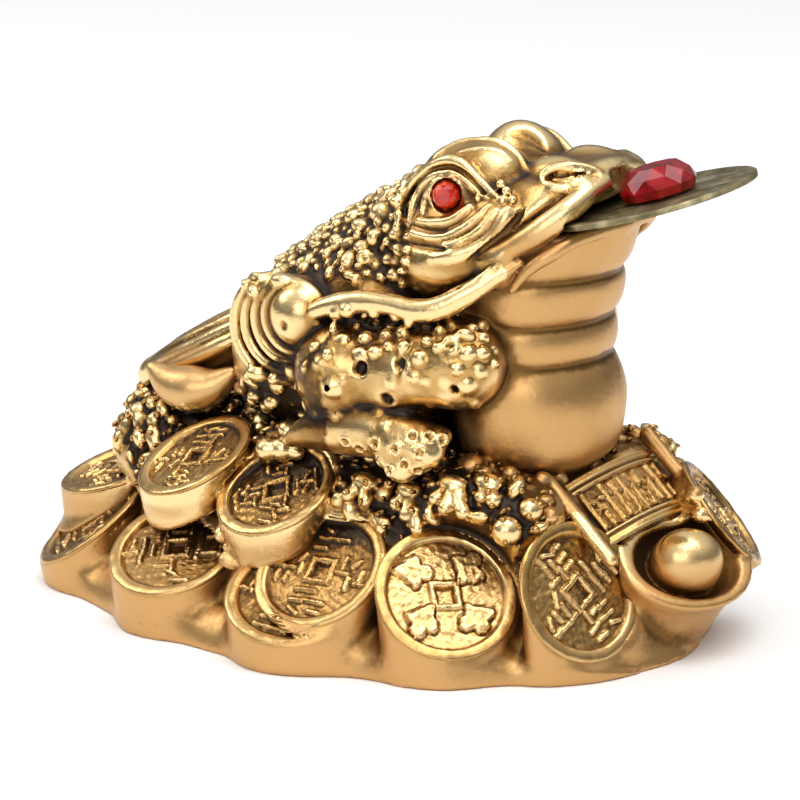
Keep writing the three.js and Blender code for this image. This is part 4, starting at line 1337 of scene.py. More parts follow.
FINE_BLUR = 0.45  # mm, for creases between warts
MIDDLE_BLUR = 1.1
WIDE_BLUR = 2.6  # for the gaps between large forms
TABLE_LAYERS = 4  # the layers of the wide grid that lie in the table
whole = Clay((-46, -31, -3), (44, 30, 59), 0.7)
_, (x, y, z) = whole.window((-99, -99, -99), (99, 99, 99))
spread = np.stack([grid.ravel() for grid in np.broadcast_arrays(x, y, z)], axis=1)
crowd = np.zeros(len(spread))
for clay in (toad, heap):
    high = clay.low + clay.step * (np.array(clay.field.shape) - 1)
    within = ((spread > clay.low) & (spread < high)).all(axis=1)
    crowd[within] = np.maximum(crowd[within], np.clip(0.5 - read(clay, spread[within]) / whole.step, 0, 1))
crowd = crowd.reshape(whole.field.shape).astype(np.float32)
# the table counts as solid here, so the wide crowding paints shade on the gold near it
crowd[:, :, :TABLE_LAYERS] = 1
wide_crowd = blurred(crowd, WIDE_BLUR / whole.step)
small_crowds = {}
for name, clay in (("toad", toad), ("heap", heap)):
    solid = filled(clay)
    small_crowds[name] = [blurred(solid, width / clay.step) for width in (FINE_BLUR, MIDDLE_BLUR)]
print("crowding measured on", whole.field.size, "points")

# %% [markdown]
# ## Numbers kept on the mesh
#
# Three numbers are kept on each point for the paint: `hollow` for small creases, `deep` for painted
# shade, together with the wash, in the gaps between large forms and near the table, and `satin` for
# what was wiped less bright, such as the throat, the coins' sides and the small boat. The skin between
# warts and the bed between chunks count as hollow too.

# %% Hollow, deep and satin
SKIN_GAP_WASH = 0.16
BED_GAP_WASH = 0.65
EYE_CLEARANCE = 2.3  # round an eye the gold stays clean


def mesh_points(piece):
    points = np.zeros(3 * len(piece.data.vertices), np.float32)
    piece.data.vertices.foreach_get("co", points)
    return points.reshape(-1, 3) / MM


def keep_number(piece, name, values):
    layer = piece.data.attributes.new(name, "FLOAT", "POINT")
    layer.data.foreach_set("value", np.asarray(values, np.float32))


def satin_share(points):
    x, y, z = points.T
    throat = np.clip((x - 12) / 3, 0, 1) * np.clip((50 - z) / 3, 0, 1) * (np.abs(y) < 12.4)
    sides = np.clip((14 - z) / 5, 0, 1)
    boat = 0.8 * (from_line(points, *boat_line) < 3.6)
    return np.clip(np.maximum(np.maximum(throat * (z > 17), sides), boat), 0, 1)


# painted shade, together with the wash, in the gaps between large forms and near the table, weaker low down
def deep_share(points):
    low_down = np.clip((points[:, 2] - 4) / 6, 0, 1)
    return 2 * (read(whole, points, wide_crowd) - 0.5) * (0.3 + 0.7 * low_down)


def raised_share(clay, points, before, high):
    return np.clip(read(clay, points, before) / high, 0, 1)


def skin_gaps(points):
    face = slope(toad, points)
    rough = on_the_back(points, face) + 3.0 * on_the_flank(points, face)
    return rough * (1 - raised_share(toad, points, smooth_skin, 0.45))


def bed_gaps(points):
    return on_bed(points) * (1 - raised_share(heap, points, bare_heap, 0.8))


for piece, clay, name in ((toad_piece, toad, "toad"), (heap_piece, heap, "heap")):
    points = mesh_points(piece)
    fine, middle = (read(clay, points, crowd) - 0.5 for crowd in small_crowds[name])
    gaps = SKIN_GAP_WASH * skin_gaps(points) if name == "toad" else BED_GAP_WASH * bed_gaps(points)
    hollow = 1.6 * fine + 1.4 * middle + gaps
    for side in SIDES:
        seat, look = eye_place(side)
        by_the_eye = ((points - seat) ** 2).sum(axis=1) < EYE_CLEARANCE ** 2
        hollow[by_the_eye] = np.minimum(hollow[by_the_eye], 0.02)
    keep_number(piece, "hollow", hollow)
    keep_number(piece, "deep", deep_share(points))
    keep_number(piece, "satin", satin_share(points))
    print(piece.name, "hollow from", hollow.min().round(2), "to", hollow.max().round(2))

# %% [markdown]
# ## Coin faces
#
# Each coin of the heap shows a face with a rounded rim, a sunken field, a square hole in a frame, and
# raised marks round it. The real marks are worn signs. Here they are rows of short strokes, and on one
# coin four ragged plates, which say nothing. A face is a fine round grid whose height comes from a
# function, because clay at this size would blur marks of a third of a millimetre. First come the marks:
# a bar, a faint unevenness, a plate with a ragged edge, and a block of strokes.

# %% Marks on a coin
STROKE_WIDTH = 0.36
PLATE_SIZE = 1.65
PLATE_RAGS = ((4, 0.24), (7, 0.1))  # how many lobes, and how deep as a share of the plate


def step_up(value, start, end):
    t = np.clip((value - start) / (end - start), 0, 1)
    return t * t * (3 - 2 * t)


def bar(u, v, start, end, width):
    ahead = np.array(end) - start
    share = np.clip(((u - start[0]) * ahead[0] + (v - start[1]) * ahead[1]) / (ahead @ ahead), 0, 1)
    away = np.hypot(u - start[0] - share * ahead[0], v - start[1] - share * ahead[1])
    return 1 - step_up(away, 0.45 * width, width)


def uneven(u, v, length, seed):
    dice = np.random.default_rng(seed)
    value = 0
    for _ in range(7):
        wave = dice.normal(size=2)
        wave *= 2 * math.pi / length / np.linalg.norm(wave) * dice.uniform(0.6, 1.7)
        value = value + np.sin(u * wave[0] + v * wave[1] + dice.uniform(0, 7))
    return value / 4


def plate_mark(along, side, size, dice):
    away = np.hypot(along, side)
    turn = np.arctan2(side, along)
    edge = size
    for count, strength in PLATE_RAGS:
        share = (count * turn / (2 * math.pi) + dice.uniform(0, 1)) % 1
        edge = edge + size * strength * (2 * np.abs(2 * share - 1) - 1)
    edge = edge + 0.1 * size * np.cos(2 * turn + dice.uniform(0, 6))
    raised = 1 - step_up(away - edge, -0.08, 0.1)
    return raised - 0.5 * (1 - step_up(np.abs(away - edge - 0.2), 0, 0.17))


def stroke_marks(along, side, room, dice):
    marks = np.zeros_like(along)
    cell = 0.72 * room
    for row in (-1, 0, 1):
        for column in (-1, 0, 1):
            if dice.uniform() < 0.2:
                continue
            turn = math.radians(dice.choice((0, 0, 90, 90, 90, 60)) + dice.uniform(-6, 6))
            place = cell * np.array([row, column]) + dice.uniform(-0.12, 0.12, 2)
            half = dice.uniform(0.4, 0.6) * cell * np.array([math.cos(turn), math.sin(turn)])
            raised = dice.uniform(0.6, 1) * bar(along, side, place - half, place + half, STROKE_WIDTH)
            marks = np.maximum(marks, raised)
    return marks


def coin_marks(u, v, middle, room, seed, kind):
    dice = np.random.default_rng(seed)
    marks = np.zeros_like(u)
    for quarter in range(4):
        angle = math.pi / 2 * (quarter + (0.5 if kind == "plates" else 0))
        along = math.cos(angle) * u + math.sin(angle) * v - middle
        side = -math.sin(angle) * u + math.cos(angle) * v
        if kind == "plates":
            marks = marks + plate_mark(along - 0.1, side, PLATE_SIZE, dice)
        else:
            marks = np.maximum(marks, stroke_marks(along, side, room, dice))
    return marks


print("marks ready, a stroke is", STROKE_WIDTH, "mm wide")

# %% [markdown]
# ## The height of a coin's face
#
# The height is a sum of shares that step up or down over one or two tenths of a millimetre: a
# crowned rim, a field sunk below it, a frame, a square hole and the marks. The coin with plates was
# cast crisper, with a narrower and flatter rim, and the others are more worn.

# %% The height of a coin's face
COIN_RELIEF = 0.6
COIN_HOLE = 1.05
COIN_FRAME = 0.6
# the rim's width, its crown and how worn the field is
COIN_KINDS = {"plates": (1.3, 0.06, 0.03), "strokes": (1.5, 0.2, 0.04)}


def coin_height(u, v, radius, seed, kind):
    rim_width, crown, worn = COIN_KINDS[kind]
    away = np.hypot(u, v)
    field = radius - rim_width
    sunk = 1 - step_up(away, field - 0.22, field + 0.1)
    rim = -crown * ((away - radius + rim_width / 2) / (rim_width / 2)) ** 2
    square = np.maximum(np.abs(u), np.abs(v)) + 0.04 * uneven(u, v, 2.5, seed + 50)
    frame = step_up(square, COIN_HOLE - 0.1, COIN_HOLE + 0.1) * (
        1 - step_up(square, COIN_HOLE + COIN_FRAME - 0.1, COIN_HOLE + COIN_FRAME + 0.12)
    )
    hole = 1 - step_up(square, COIN_HOLE - 0.2, COIN_HOLE + 0.05)
    middle = (field + COIN_HOLE + COIN_FRAME) / 2
    room = (field - COIN_HOLE - COIN_FRAME) * 0.38
    marks = coin_marks(u, v, middle, room, seed, kind)
    floor = -COIN_RELIEF + 0.46 * marks + 0.36 * frame - 0.45 * hole + worn * uneven(u, v, 1.3, seed)
    floor = floor + worn * 0.6 * uneven(u, v, 0.6, seed + 7)
    return sunk * floor + (1 - sunk) * rim + 0.03 * uneven(u, v, 2.4, seed + 3)


print("relief of a coin:", COIN_RELIEF, "mm")

# %% [markdown]
# ## The face as a closed disc
#
# Rings of points take their height from the function, and three more rings close the disc below. A
# point lower than its neighbours counts as hollow, and some coins held more wash than others. On a
# tilted face the upper half lies under the next coin, so it is given a little painted shade. The coins
# of the shown side get a finer grid than those of the hidden side.

# %% Coin faces as closed discs
FACE_DEPTH = 1.3
FACE_OVERLAP = 0.06
FACE_LIFT = 0.1
PLATES_COIN = 1
SHOWN_COINS = 10
COIN_WASH = (0.03, -0.1, 0.24, 0.22, 0.11, 0.11, 0.11, 0.17, 0.22, *[0.11] * 6)
# painted shade on the upper half of a tilted face, which lies under the next coin
UPPER_HALF_SHADE = 0.12
HOLLOW_GAIN = 1.6
DULL_MARGIN = 1.4  # the wash that a coin held starts this far inside its rim


def disc_of(radius, height, thick, inset, rings, sectors, dull=0.0):
    turn = 2 * math.pi * np.arange(sectors) / sectors
    radii = radius * np.arange(1, rings + 1) / rings
    u = radii[:, None] * np.cos(turn)
    v = radii[:, None] * np.sin(turn)
    top = height(u, v)
    top[-1] -= 0.12
    hollow = sum(np.roll(top, shift, 1) for shift in (-4, -2, 2, 4)) / 4
    inner = np.vstack([top[:1], top[:1], top, top[-1:], top[-1:]])
    hollow = (hollow + (inner[:-4] + inner[4:]) / 2) / 2 - top
    under = [(radius - 0.05, -0.5), (radius - 0.5 * inset, -0.6 * thick), (radius - inset, -thick)]
    rows = [np.stack([u, v, top], axis=2).reshape(-1, 3)]
    for reach, depth in under:
        rows.append(np.stack([reach * np.cos(turn), reach * np.sin(turn), 0 * turn + depth], axis=1))
    centre = height(np.zeros(1), np.zeros(1))[0]
    points = np.vstack([*rows, [[0, 0, centre], [0, 0, -thick]]])
    hollow = HOLLOW_GAIN * hollow + dull * (radii < radius - DULL_MARGIN)[:, None]
    dark = np.concatenate([hollow.ravel(), np.zeros(3 * sectors + 2)])
    count = rings + len(under)
    here = np.arange(sectors)
    after = (here + 1) % sectors
    faces = [np.stack([here * 0 + len(points) - 2, here, after], axis=1)]
    for ring in range(count - 1):
        low, high = ring * sectors, (ring + 1) * sectors
        faces.append(np.stack([low + here, high + here, high + after], axis=1))
        faces.append(np.stack([low + here, high + after, low + after], axis=1))
    last = (count - 1) * sectors
    faces.append(np.stack([here * 0 + len(points) - 1, last + after, last + here], axis=1))
    return points, np.vstack(faces), dark


def placed(points, place, facing, spin=0.0):
    first, second = face_axes(facing, spin)
    return place + points @ np.array([first, second, facing])


def joined(name, parts):
    points, faces, darks = [], [], []
    start = 0
    for part_points, part_faces, dark in parts:
        points.append(part_points)
        faces.append(part_faces + start)
        darks.append(dark)
        start += len(part_points)
    piece = new_piece(name, mesh_of(name, np.vstack(points), np.vstack(faces)))
    keep_number(piece, "hollow", np.concatenate(darks))
    points = mesh_points(piece)
    keep_number(piece, "deep", deep_share(points))
    keep_number(piece, "satin", 0.35 * satin_share(points))
    return piece


coin_pieces = []
for name, numbers, rings, sectors in (
    ("shown_coin_faces", range(SHOWN_COINS), 48, 184),
    ("hidden_coin_faces", range(SHOWN_COINS, len(COINS)), 34, 120),
):
    parts = []
    for i in numbers:
        turn, reach, height, lift, swing, spin, radius, _, _ = COINS[i]
        kind = "plates" if i == PLATES_COIN else "strokes"
        face_radius = radius + FACE_OVERLAP
        points, faces, dark = disc_of(
            face_radius, lambda u, v: coin_height(u, v, face_radius, 100 + i, kind),
            FACE_DEPTH, 0.8, rings, sectors, COIN_WASH[i])
        place = on_heap(turn, reach, height)
        facing = outward(turn, lift, swing)
        points = placed(points + [0, 0, FACE_LIFT], place, facing, spin)
        if kind == "strokes":
            shown = points[:rings * sectors]
            uphill = -(shown - place)[:, :2] @ facing[:2]
            uphill /= radius * np.hypot(facing[0], facing[1]) * facing[2]
            # painted shade: the upper half of the face, under the next coin, is darkened
            dark[:rings * sectors] += UPPER_HALF_SHADE * np.clip(uphill, -0.5, 1)
        parts.append((points, faces, dark))
    coin_pieces.append(joined(name, parts))
print("coin faces:", [(piece.name, len(piece.data.polygons)) for piece in coin_pieces])

# %% [markdown]
# ## The scroll
#
# The scroll's sheet is arched between its two rods, has a double border, and carries rows of short
# upright strokes. Like a coin's face, it is a fine grid with a height, closed underneath: one layer of
# quads on top, the same layer below turned the other way, and a wall of quads round the edge. A plane
# with Solidify would close it too, but its wall would follow each mark and cross itself.

# %% The scroll's sheet
SCROLL_THICK = 1.5
SIGN_WIDTH = 0.42
SIGN_GAP = 1.25
SIGN_KEPT = 0.85  # the share of a worn line's parts that are still there


def scroll_height(across, ahead):
    arch = 1 - np.minimum(np.abs(across) / SCROLL_ARCH, 1) ** 2
    rise = -0.3 * SCROLL_ARCH + 0.46 * SCROLL_ARCH * np.sqrt(arch * 0.85 + 0.15)
    edge = SCROLL_LENGTH / 2 - np.abs(ahead)
    border = 1 - step_up(np.abs(edge - 0.5), 0.35, 0.52)
    border = np.maximum(border, 0.8 * (1 - step_up(np.abs(edge - 1.4), 0.14, 0.32)))
    room = step_up(edge, 1.6, 1.8) * step_up(SCROLL_ARCH - np.abs(across), 1.2, 1.5)
    dice = np.random.default_rng(77)
    marks = np.zeros_like(across)
    for place in np.arange(-SCROLL_ARCH + 2.2, SCROLL_ARCH - 2, SIGN_GAP):
        reach = (SCROLL_LENGTH / 2 - 1.9) * dice.uniform(0.75, 1)
        bends = [
            np.array([place + dice.uniform(-0.14, 0.14), reach * share])
            for share in (-1, -0.35, 0.35, 1)
        ]
        for start, end in zip(bends, bends[1:]):
            if dice.uniform() < SIGN_KEPT:
                marks = np.maximum(marks, bar(across, ahead, start, end, SIGN_WIDTH))
        side = bends[1] + [0.55, dice.uniform(-0.3, 0.3)]
        marks = np.maximum(marks, bar(across, ahead, side - [0.18, 0.1], side + [0.18, 0.1], 0.3))
    rough = 0.05 * uneven(across, ahead, 1.2, 31)
    return rise, 0.4 * border + room * (0.5 * marks + rough - 0.12) - 0.1


grid_across, grid_ahead = 132, 70
across, ahead = np.meshgrid(
    np.linspace(-0.97, 0.97, grid_across) * SCROLL_ARCH,
    np.linspace(-0.5, 0.5, grid_ahead) * SCROLL_LENGTH, indexing="ij")
rise, marks = scroll_height(across, ahead)
soft = sum(np.roll(marks, shift, axis) for axis in (0, 1) for shift in (2, -2)) / 4
top = np.stack([ahead, across, rise + marks], axis=2).reshape(-1, 3)
under = np.stack([ahead, across, rise - SCROLL_THICK], axis=2).reshape(-1, 3)
cell = (np.arange(grid_across - 1)[:, None] * grid_ahead + np.arange(grid_ahead - 1)).ravel()
quad = np.stack([cell, cell + 1, cell + grid_ahead + 1, cell + grid_ahead], axis=1)
below = quad[:, ::-1] + len(top)
number = np.arange(len(top)).reshape(grid_across, grid_ahead)
edge = np.concatenate([number[:, 0], number[-1, 1:], number[-2::-1, -1], number[0, -2:0:-1]])
after = np.roll(edge, -1)
wall = np.stack([edge, edge + len(top), after + len(top), after], axis=1)
quads = np.vstack([quad, below, wall])
faces = np.vstack([quads[:, [0, 2, 1]], quads[:, [0, 3, 2]]])
ground = 0.2 * step_up(SCROLL_LENGTH / 2 - np.abs(ahead), 1.6, 1.8)
dark = np.concatenate([(1.8 * (soft - marks) + ground).ravel(), np.zeros(len(top))])
scroll_piece = joined("scroll_sheet", [
    (placed(np.vstack([top, under]), scroll_place, scroll_facing, SCROLL_SPIN), faces, dark),
])
print("scroll faces:", len(scroll_piece.data.polygons))

# %% [markdown]
# ## Grains between the coins
#
# Small grains fill the gaps between the belly, the hands and the coins. They follow a surface and
# repeat by the hundred, so Geometry Nodes place them: points are spread over a patch of the heap with
# a least gap between them, and a small ball is put on each, turned and sized at random. The tree ends
# with real meshes, and the modifier is taken away once its result is kept.

# %% A Geometry Nodes tree for grains
MOST_GRAINS = 1.6e6  # for each square metre, before the least gap thins them
SMALLEST_GRAIN, LARGEST_GRAIN = (0.5, 0.5, 0.5), (1.6, 1.2, 1.1)
MOST_TURN = (0.6, 0.6, 3)


def add_node(tree, kind, settings=None, inputs=None):
    made = tree.nodes.new(kind)
    for name, value in (settings or {}).items():
        setattr(made, name, value)
    for name, value in (inputs or {}).items():
        socket = made.inputs[name]
        if isinstance(value, bpy.types.NodeSocket):
            tree.links.new(value, socket)
        else:
            socket.default_value = value
    return made


def grain_tree(material):
    tree = bpy.data.node_groups.new("grains", "GeometryNodeTree")
    face = tree.interface
    face.new_socket("Bed", in_out="INPUT", socket_type="NodeSocketGeometry")
    for name, value in (("Grain radius", 0.0006), ("Least gap", 0.0010)):
        face.new_socket(name, in_out="INPUT", socket_type="NodeSocketFloat").default_value = value
    face.new_socket("Seed", in_out="INPUT", socket_type="NodeSocketInt").default_value = 4
    face.new_socket("Grains", in_out="OUTPUT", socket_type="NodeSocketGeometry")
    start = add_node(tree, "NodeGroupInput")
    spread = add_node(tree, "GeometryNodeDistributePointsOnFaces", {"distribute_method": "POISSON"}, {
        "Mesh": start.outputs["Bed"], "Distance Min": start.outputs["Least gap"],
        "Density Max": MOST_GRAINS, "Seed": start.outputs["Seed"],
    })
    ball = add_node(tree, "GeometryNodeMeshIcoSphere", None, {
        "Radius": start.outputs["Grain radius"], "Subdivisions": 2,
    })
    size = add_node(tree, "FunctionNodeRandomValue", {"data_type": "FLOAT_VECTOR"}, {
        0: SMALLEST_GRAIN, 1: LARGEST_GRAIN,
    })
    turn = add_node(tree, "FunctionNodeRandomValue", {"data_type": "FLOAT_VECTOR"}, {
        0: tuple(-angle for angle in MOST_TURN), 1: MOST_TURN,
    })
    put = add_node(tree, "GeometryNodeInstanceOnPoints", None, {
        "Points": spread.outputs["Points"], "Instance": ball.outputs["Mesh"],
        "Rotation": turn.outputs[0], "Scale": size.outputs[0],
    })
    real = add_node(tree, "GeometryNodeRealizeInstances", None, {"Geometry": put.outputs[0]})
    smooth = add_node(tree, "GeometryNodeSetShadeSmooth", None, {"Geometry": real.outputs[0]})
    finish = add_node(tree, "GeometryNodeSetMaterial", None, {
        "Geometry": smooth.outputs[0], "Material": material,
    })
    add_node(tree, "NodeGroupOutput", None, {"Grains": finish.outputs[0]})
    return tree


print("grain tree ready")

# %% [markdown]
# ## The gold paint
#
# The paint is a metallic gold, glossy on the head and the coins and more satin on the throat and the
# sides of the coins, where it was wiped. Under it the resin is faintly uneven. The dark wash is not
# metal: it is nearly black and shiny, and its edge breaks up with noise, as a wiped paint does. The
# amounts come from the numbers that were kept on the mesh, so the wash lies in the real hollows. The
# same dark and a stained brown also paint shade in the wide gaps, near the table, on the upper halves
# of the coins and under the grains. Ridges get a light rubbed gold, which is rubbed wear and a painted
# highlight.

# %% Gold paint with a dark wash, painted shade and a painted highlight
DEEP_GOLD, LIGHT_GOLD = (0.43, 0.24, 0.072), (0.56, 0.34, 0.115)
RUBBED_AND_HIGHLIGHT_GOLD = (0.90, 0.66, 0.32)
SATIN_GOLD = (0.60, 0.35, 0.135)
STAINED_AND_SHADED_GOLD = (0.20, 0.10, 0.028)
DARK_WASH_AND_SHADE = (0.026, 0.016, 0.010)


def new_material(name, colour):
    material = bpy.data.materials.new(name)
    material.use_nodes = True
    material.diffuse_color = (*colour, 1)
    tree = material.node_tree
    tree.nodes.clear()
    return material, tree, add_node(tree, "ShaderNodeTexCoord").outputs["Object"]


def noise_on(tree, place, scale, detail):
    return add_node(tree, "ShaderNodeTexNoise", None, {
        "Vector": place, "Scale": scale, "Detail": detail,
    }).outputs["Fac"]


def colours_from(tree, share, stops):
    ramp = add_node(tree, "ShaderNodeValToRGB", None, {"Fac": share})
    for number, (position, colour) in enumerate(stops):
        points = ramp.color_ramp.elements
        point = points[number] if number < len(points) else points.new(position)
        point.position = position
        point.color = (*colour, 1)
    return ramp.outputs["Color"]


def finish_surface(tree, values):
    shader = add_node(tree, "ShaderNodeBsdfPrincipled", None, values)
    add_node(tree, "ShaderNodeOutputMaterial", None, {"Surface": shader.outputs[0]})


def gold_material(name):
    material, tree, place = new_material(name, (0.62, 0.42, 0.18))
    numbers = {
        key: add_node(tree, "ShaderNodeAttribute", {"attribute_name": key}).outputs["Fac"]
        for key in ("hollow", "deep", "satin")
    }

    def sum_of(*terms):
        total = None
        for value, factor in terms:
            total = add_node(tree, "ShaderNodeMath", {"operation": "MULTIPLY_ADD"}, {
                0: value, 1: factor, 2: 0.0 if total is None else total,
            }).outputs[0]
        return total

    def eased(value, low, high, to_low=0.0, to_high=1.0):
        return add_node(tree, "ShaderNodeMapRange", {"interpolation_type": "SMOOTHSTEP"}, {
            "Value": value, "From Min": low, "From Max": high, "To Min": to_low, "To Max": to_high,
        }).outputs["Result"]

    def mixed(share, first, second):
        made = add_node(tree, "ShaderNodeMix", {"data_type": "RGBA"})
        for index, value in ((0, share), (6, first), (7, second)):
            if isinstance(value, bpy.types.NodeSocket):
                tree.links.new(value, made.inputs[index])
            else:
                made.inputs[index].default_value = (*value, 1)
        return made.outputs[2]

    speck = noise_on(tree, place, 1500, 5)
    cloud = noise_on(tree, place, 260, 3)
    dust = noise_on(tree, place, 4200, 2)
    # the dark is the wash in the hollows, and also painted shade: `deep` in wide gaps and near the table,
    # the upper halves of the coins and the grains' bottoms
    wash_and_shade_amount = sum_of(
        (numbers["hollow"], 1.0), (numbers["deep"], 0.6), (numbers["satin"], -0.07), (speck, 0.24),
        (cloud, 0.28), (1.0, -0.26))
    dark = eased(wash_and_shade_amount, 0.12, 0.36)
    wash_and_shade = add_node(tree, "ShaderNodeMath", {"operation": "MULTIPLY"}, {
        0: dark, 1: sum_of((numbers["satin"], -0.75), (1.0, 1.0)),
    }).outputs[0]
    tint = eased(wash_and_shade_amount, -0.14, 0.18)
    # ridges get a light rubbed gold: rubbed wear, and a painted highlight on the edges
    ridge = eased(numbers["hollow"], -0.25, 0.0, 1.0, 0.0)
    gold = mixed(eased(cloud, 0.35, 0.65), DEEP_GOLD, LIGHT_GOLD)
    gold = mixed(ridge, gold, RUBBED_AND_HIGHLIGHT_GOLD)
    gold = mixed(numbers["satin"], gold, SATIN_GOLD)
    gold = mixed(tint, gold, STAINED_AND_SHADED_GOLD)
    colour = mixed(wash_and_shade, gold, DARK_WASH_AND_SHADE)
    rough = sum_of((numbers["satin"], 0.16), (speck, 0.12), (dust, 0.06), (wash_and_shade, 0.1), (1.0, 0.15))
    metal = sum_of((wash_and_shade, -0.3), (1.0, 0.97))
    height = sum_of((speck, 0.6), (dust, 0.25), (cloud, 1.0))
    bump = add_node(tree, "ShaderNodeBump", None, {
        "Strength": 0.6, "Distance": 0.00011, "Height": height,
    })
    finish_surface(tree, {
        "Base Color": colour, "Metallic": metal, "Roughness": rough, "Normal": bump.outputs[0],
        "Specular IOR Level": 0.35,
    })
    return material


gold_paint = gold_material("gold_paint")
for piece in (toad_piece, heap_piece, scroll_piece, *coin_pieces):
    piece.data.materials.append(gold_paint)
print("gold paint mixed from", len(gold_paint.node_tree.nodes), "nodes")

# %% [markdown]
# ## Laying the grains
#
# The tree needs a bed to spread its grains on: the faces of the heap that lie on the same beds as the
# chunks. The modifier's inputs are set by their identifiers, and its result becomes a plain mesh. A
# grain is darker towards its bottom, by how high each of its points stands over the clay: wash where
# it meets the bed, and painted shade under it.

# %% Grains from the tree
GRAIN_RADIUS = 0.45
GRAIN_GAP = 1.5
GRAIN_SEED = 4

faces = heap_faces[on_bed(heap_points[heap_faces].mean(axis=1))]
used, order = np.unique(faces, return_inverse=True)
bed = new_piece("grain_bed", mesh_of("grain_bed", heap_points[used], order.reshape(faces.shape)))
modifier = bed.modifiers.new("grains", "NODES")
modifier.node_group = grain_tree(gold_paint)
sockets = {item.name: item.identifier for item in modifier.node_group.interface.items_tree}
modifier[sockets["Grain radius"]] = GRAIN_RADIUS * MM
modifier[sockets["Least gap"]] = GRAIN_GAP * MM
modifier[sockets["Seed"]] = GRAIN_SEED
graph = bpy.context.evaluated_depsgraph_get()
grains_mesh = bpy.data.meshes.new_from_object(bed.evaluated_get(graph))
bpy.data.objects.remove(bed)
grains = new_piece("grains", grains_mesh)
points = mesh_points(grains)
lift = read(heap, points)
# darker towards each grain's bottom: wash where it meets the bed, and painted shade under it
keep_number(grains, "hollow", 0.16 - 0.42 * np.clip(lift, -0.5, 1.0))
keep_number(grains, "deep", 0.5 * deep_share(points))
keep_number(grains, "satin", np.zeros(len(points)))
print("grain triangles:", len(grains_mesh.polygons))

# %% [markdown]
# ## The coin in the mouth
#
# This is a real thin coin, stamped from brass sheet. The same disc builder makes it, with a low rim
# and a ring of short spokes. It is thinner than the CAD coin, as its edge is in the photograph, and
# its top stays in the same place, so that the stone still sits on it.

# %% Mouth coin
SPOKE_COUNT = 28
SPOKE_START, SPOKE_END = 7.3, 8.9
SPOKE_WIDTH = 0.3


def mouth_coin_height(u, v):
    away = np.hypot(u, v)
    rim = step_up(away, COIN_RADIUS - 1.5, COIN_RADIUS - 1.1)
    marks = np.zeros_like(u)
    for i in range(SPOKE_COUNT):
        angle = 2 * math.pi * i / SPOKE_COUNT
        ahead = np.array([math.cos(angle), math.sin(angle)])
        marks = np.maximum(marks, bar(u, v, SPOKE_START * ahead, SPOKE_END * ahead, SPOKE_WIDTH))
    field = 0.1 * marks + 0.03 * uneven(u, v, 1.6, 5)
    return 0.2 * rim - 0.2 + (1 - rim) * field + 0.01 * uneven(u, v, 4, 6)


points, faces, dark = disc_of(COIN_RADIUS, mouth_coin_height, COIN_SHEET, 0.05, 60, 160)
points[:, 2] += COIN_THICKNESS / 2
mouth_coin = joined("aged_mouth_coin", [(placed(points, COIN_MIDDLE, COIN_UP), faces, dark)])
print("mouth coin faces:", len(mouth_coin.data.polygons))

# %% [markdown]
# ## Aged brass
#
# The coin's brass has gone greenish brown and is mottled, with lighter patches where it was rubbed. One
# noise picks its colour from three browns, and a finer one makes it rough in specks and slightly
# pitted. It is duller than the gold paint, because an oxide skin scatters what it mirrors.

# %% Aged brass
BRASS_COLOURS = ((0.3, (0.10, 0.085, 0.045)), (0.5, (0.24, 0.20, 0.10)), (0.68, (0.42, 0.37, 0.22)))


def brass_material(name):
    material, tree, place = new_material(name, (0.2, 0.17, 0.09))
    patch = noise_on(tree, place, 420, 5)
    speck = noise_on(tree, place, 2300, 3)
    rough = add_node(tree, "ShaderNodeMapRange", None, {
        "Value": speck, "From Min": 0.3, "From Max": 0.7, "To Min": 0.32, "To Max": 0.55,
    })
    bump = add_node(tree, "ShaderNodeBump", None, {
        "Strength": 0.4, "Distance": 0.00005, "Height": speck,
    })
    finish_surface(tree, {
        "Base Color": colours_from(tree, patch, BRASS_COLOURS), "Metallic": 0.85,
        "Roughness": rough.outputs[0], "Normal": bump.outputs[0],
    })
    return material


mouth_coin.data.materials.append(brass_material("aged_brass"))
print("brass colours:", len(BRASS_COLOURS))

# %% [markdown]
# ## The red stones
#
# The stones are moulded plastic gems with flat facets. Each is a stack of rings between a flat table
# and a flat back. A ring turned by half a step against the next gives the triangles that make a cut
# stone sparkle. They are flat shaded, since each facet has to catch the light as a whole.

# %% Cut stones
STONE_SIDES = 10
EYE_GEM_HEIGHT = 1.5
EYE_GEM_SEAT = 0.7
COIN_STONE_SPIN = 9
# each ring's share of the radius, its share of the height, and whether it is turned by half a step
COIN_STONE_ROWS = ((0.6, 1, 0), (0.86, 0.68, 1), (1, 0.3, 0), (0.92, 0, 0))
EYE_STONE_ROWS = ((0.5, 1, 0), (0.82, 0.78, 1), (1, 0.3, 0), (1, 0, 0))


def cut_stone(name, radius, height, rows, place, facing, spin=0.0):
    points = [[0, 0, rows[0][1] * height]]
    for share, rise, turned in rows:
        for i in range(STONE_SIDES):
            angle = 2 * math.pi * (i + 0.5 * turned) / STONE_SIDES
            reach = share * radius
            points.append([reach * math.cos(angle), reach * math.sin(angle), rise * height])
    points.append([0, 0, rows[-1][1] * height])
    last = 1 + (len(rows) - 1) * STONE_SIDES
    faces = []
    for i in range(STONE_SIDES):
        j = (i + 1) % STONE_SIDES
        faces.append((0, 1 + i, 1 + j))
        faces.append((len(points) - 1, last + j, last + i))
        for row in range(len(rows) - 1):
            low, high = 1 + row * STONE_SIDES, 1 + (row + 1) * STONE_SIDES
            if rows[row + 1][2] > rows[row][2]:
                faces += [(low + i, high + i, low + j), (low + j, high + i, high + j)]
            else:
                faces += [(low + i, high + i, high + j), (low + i, high + j, low + j)]
    points = placed(np.array(points, float), place, facing, spin)
    return new_piece(name, mesh_of(name, points, np.array(faces), smooth=False))


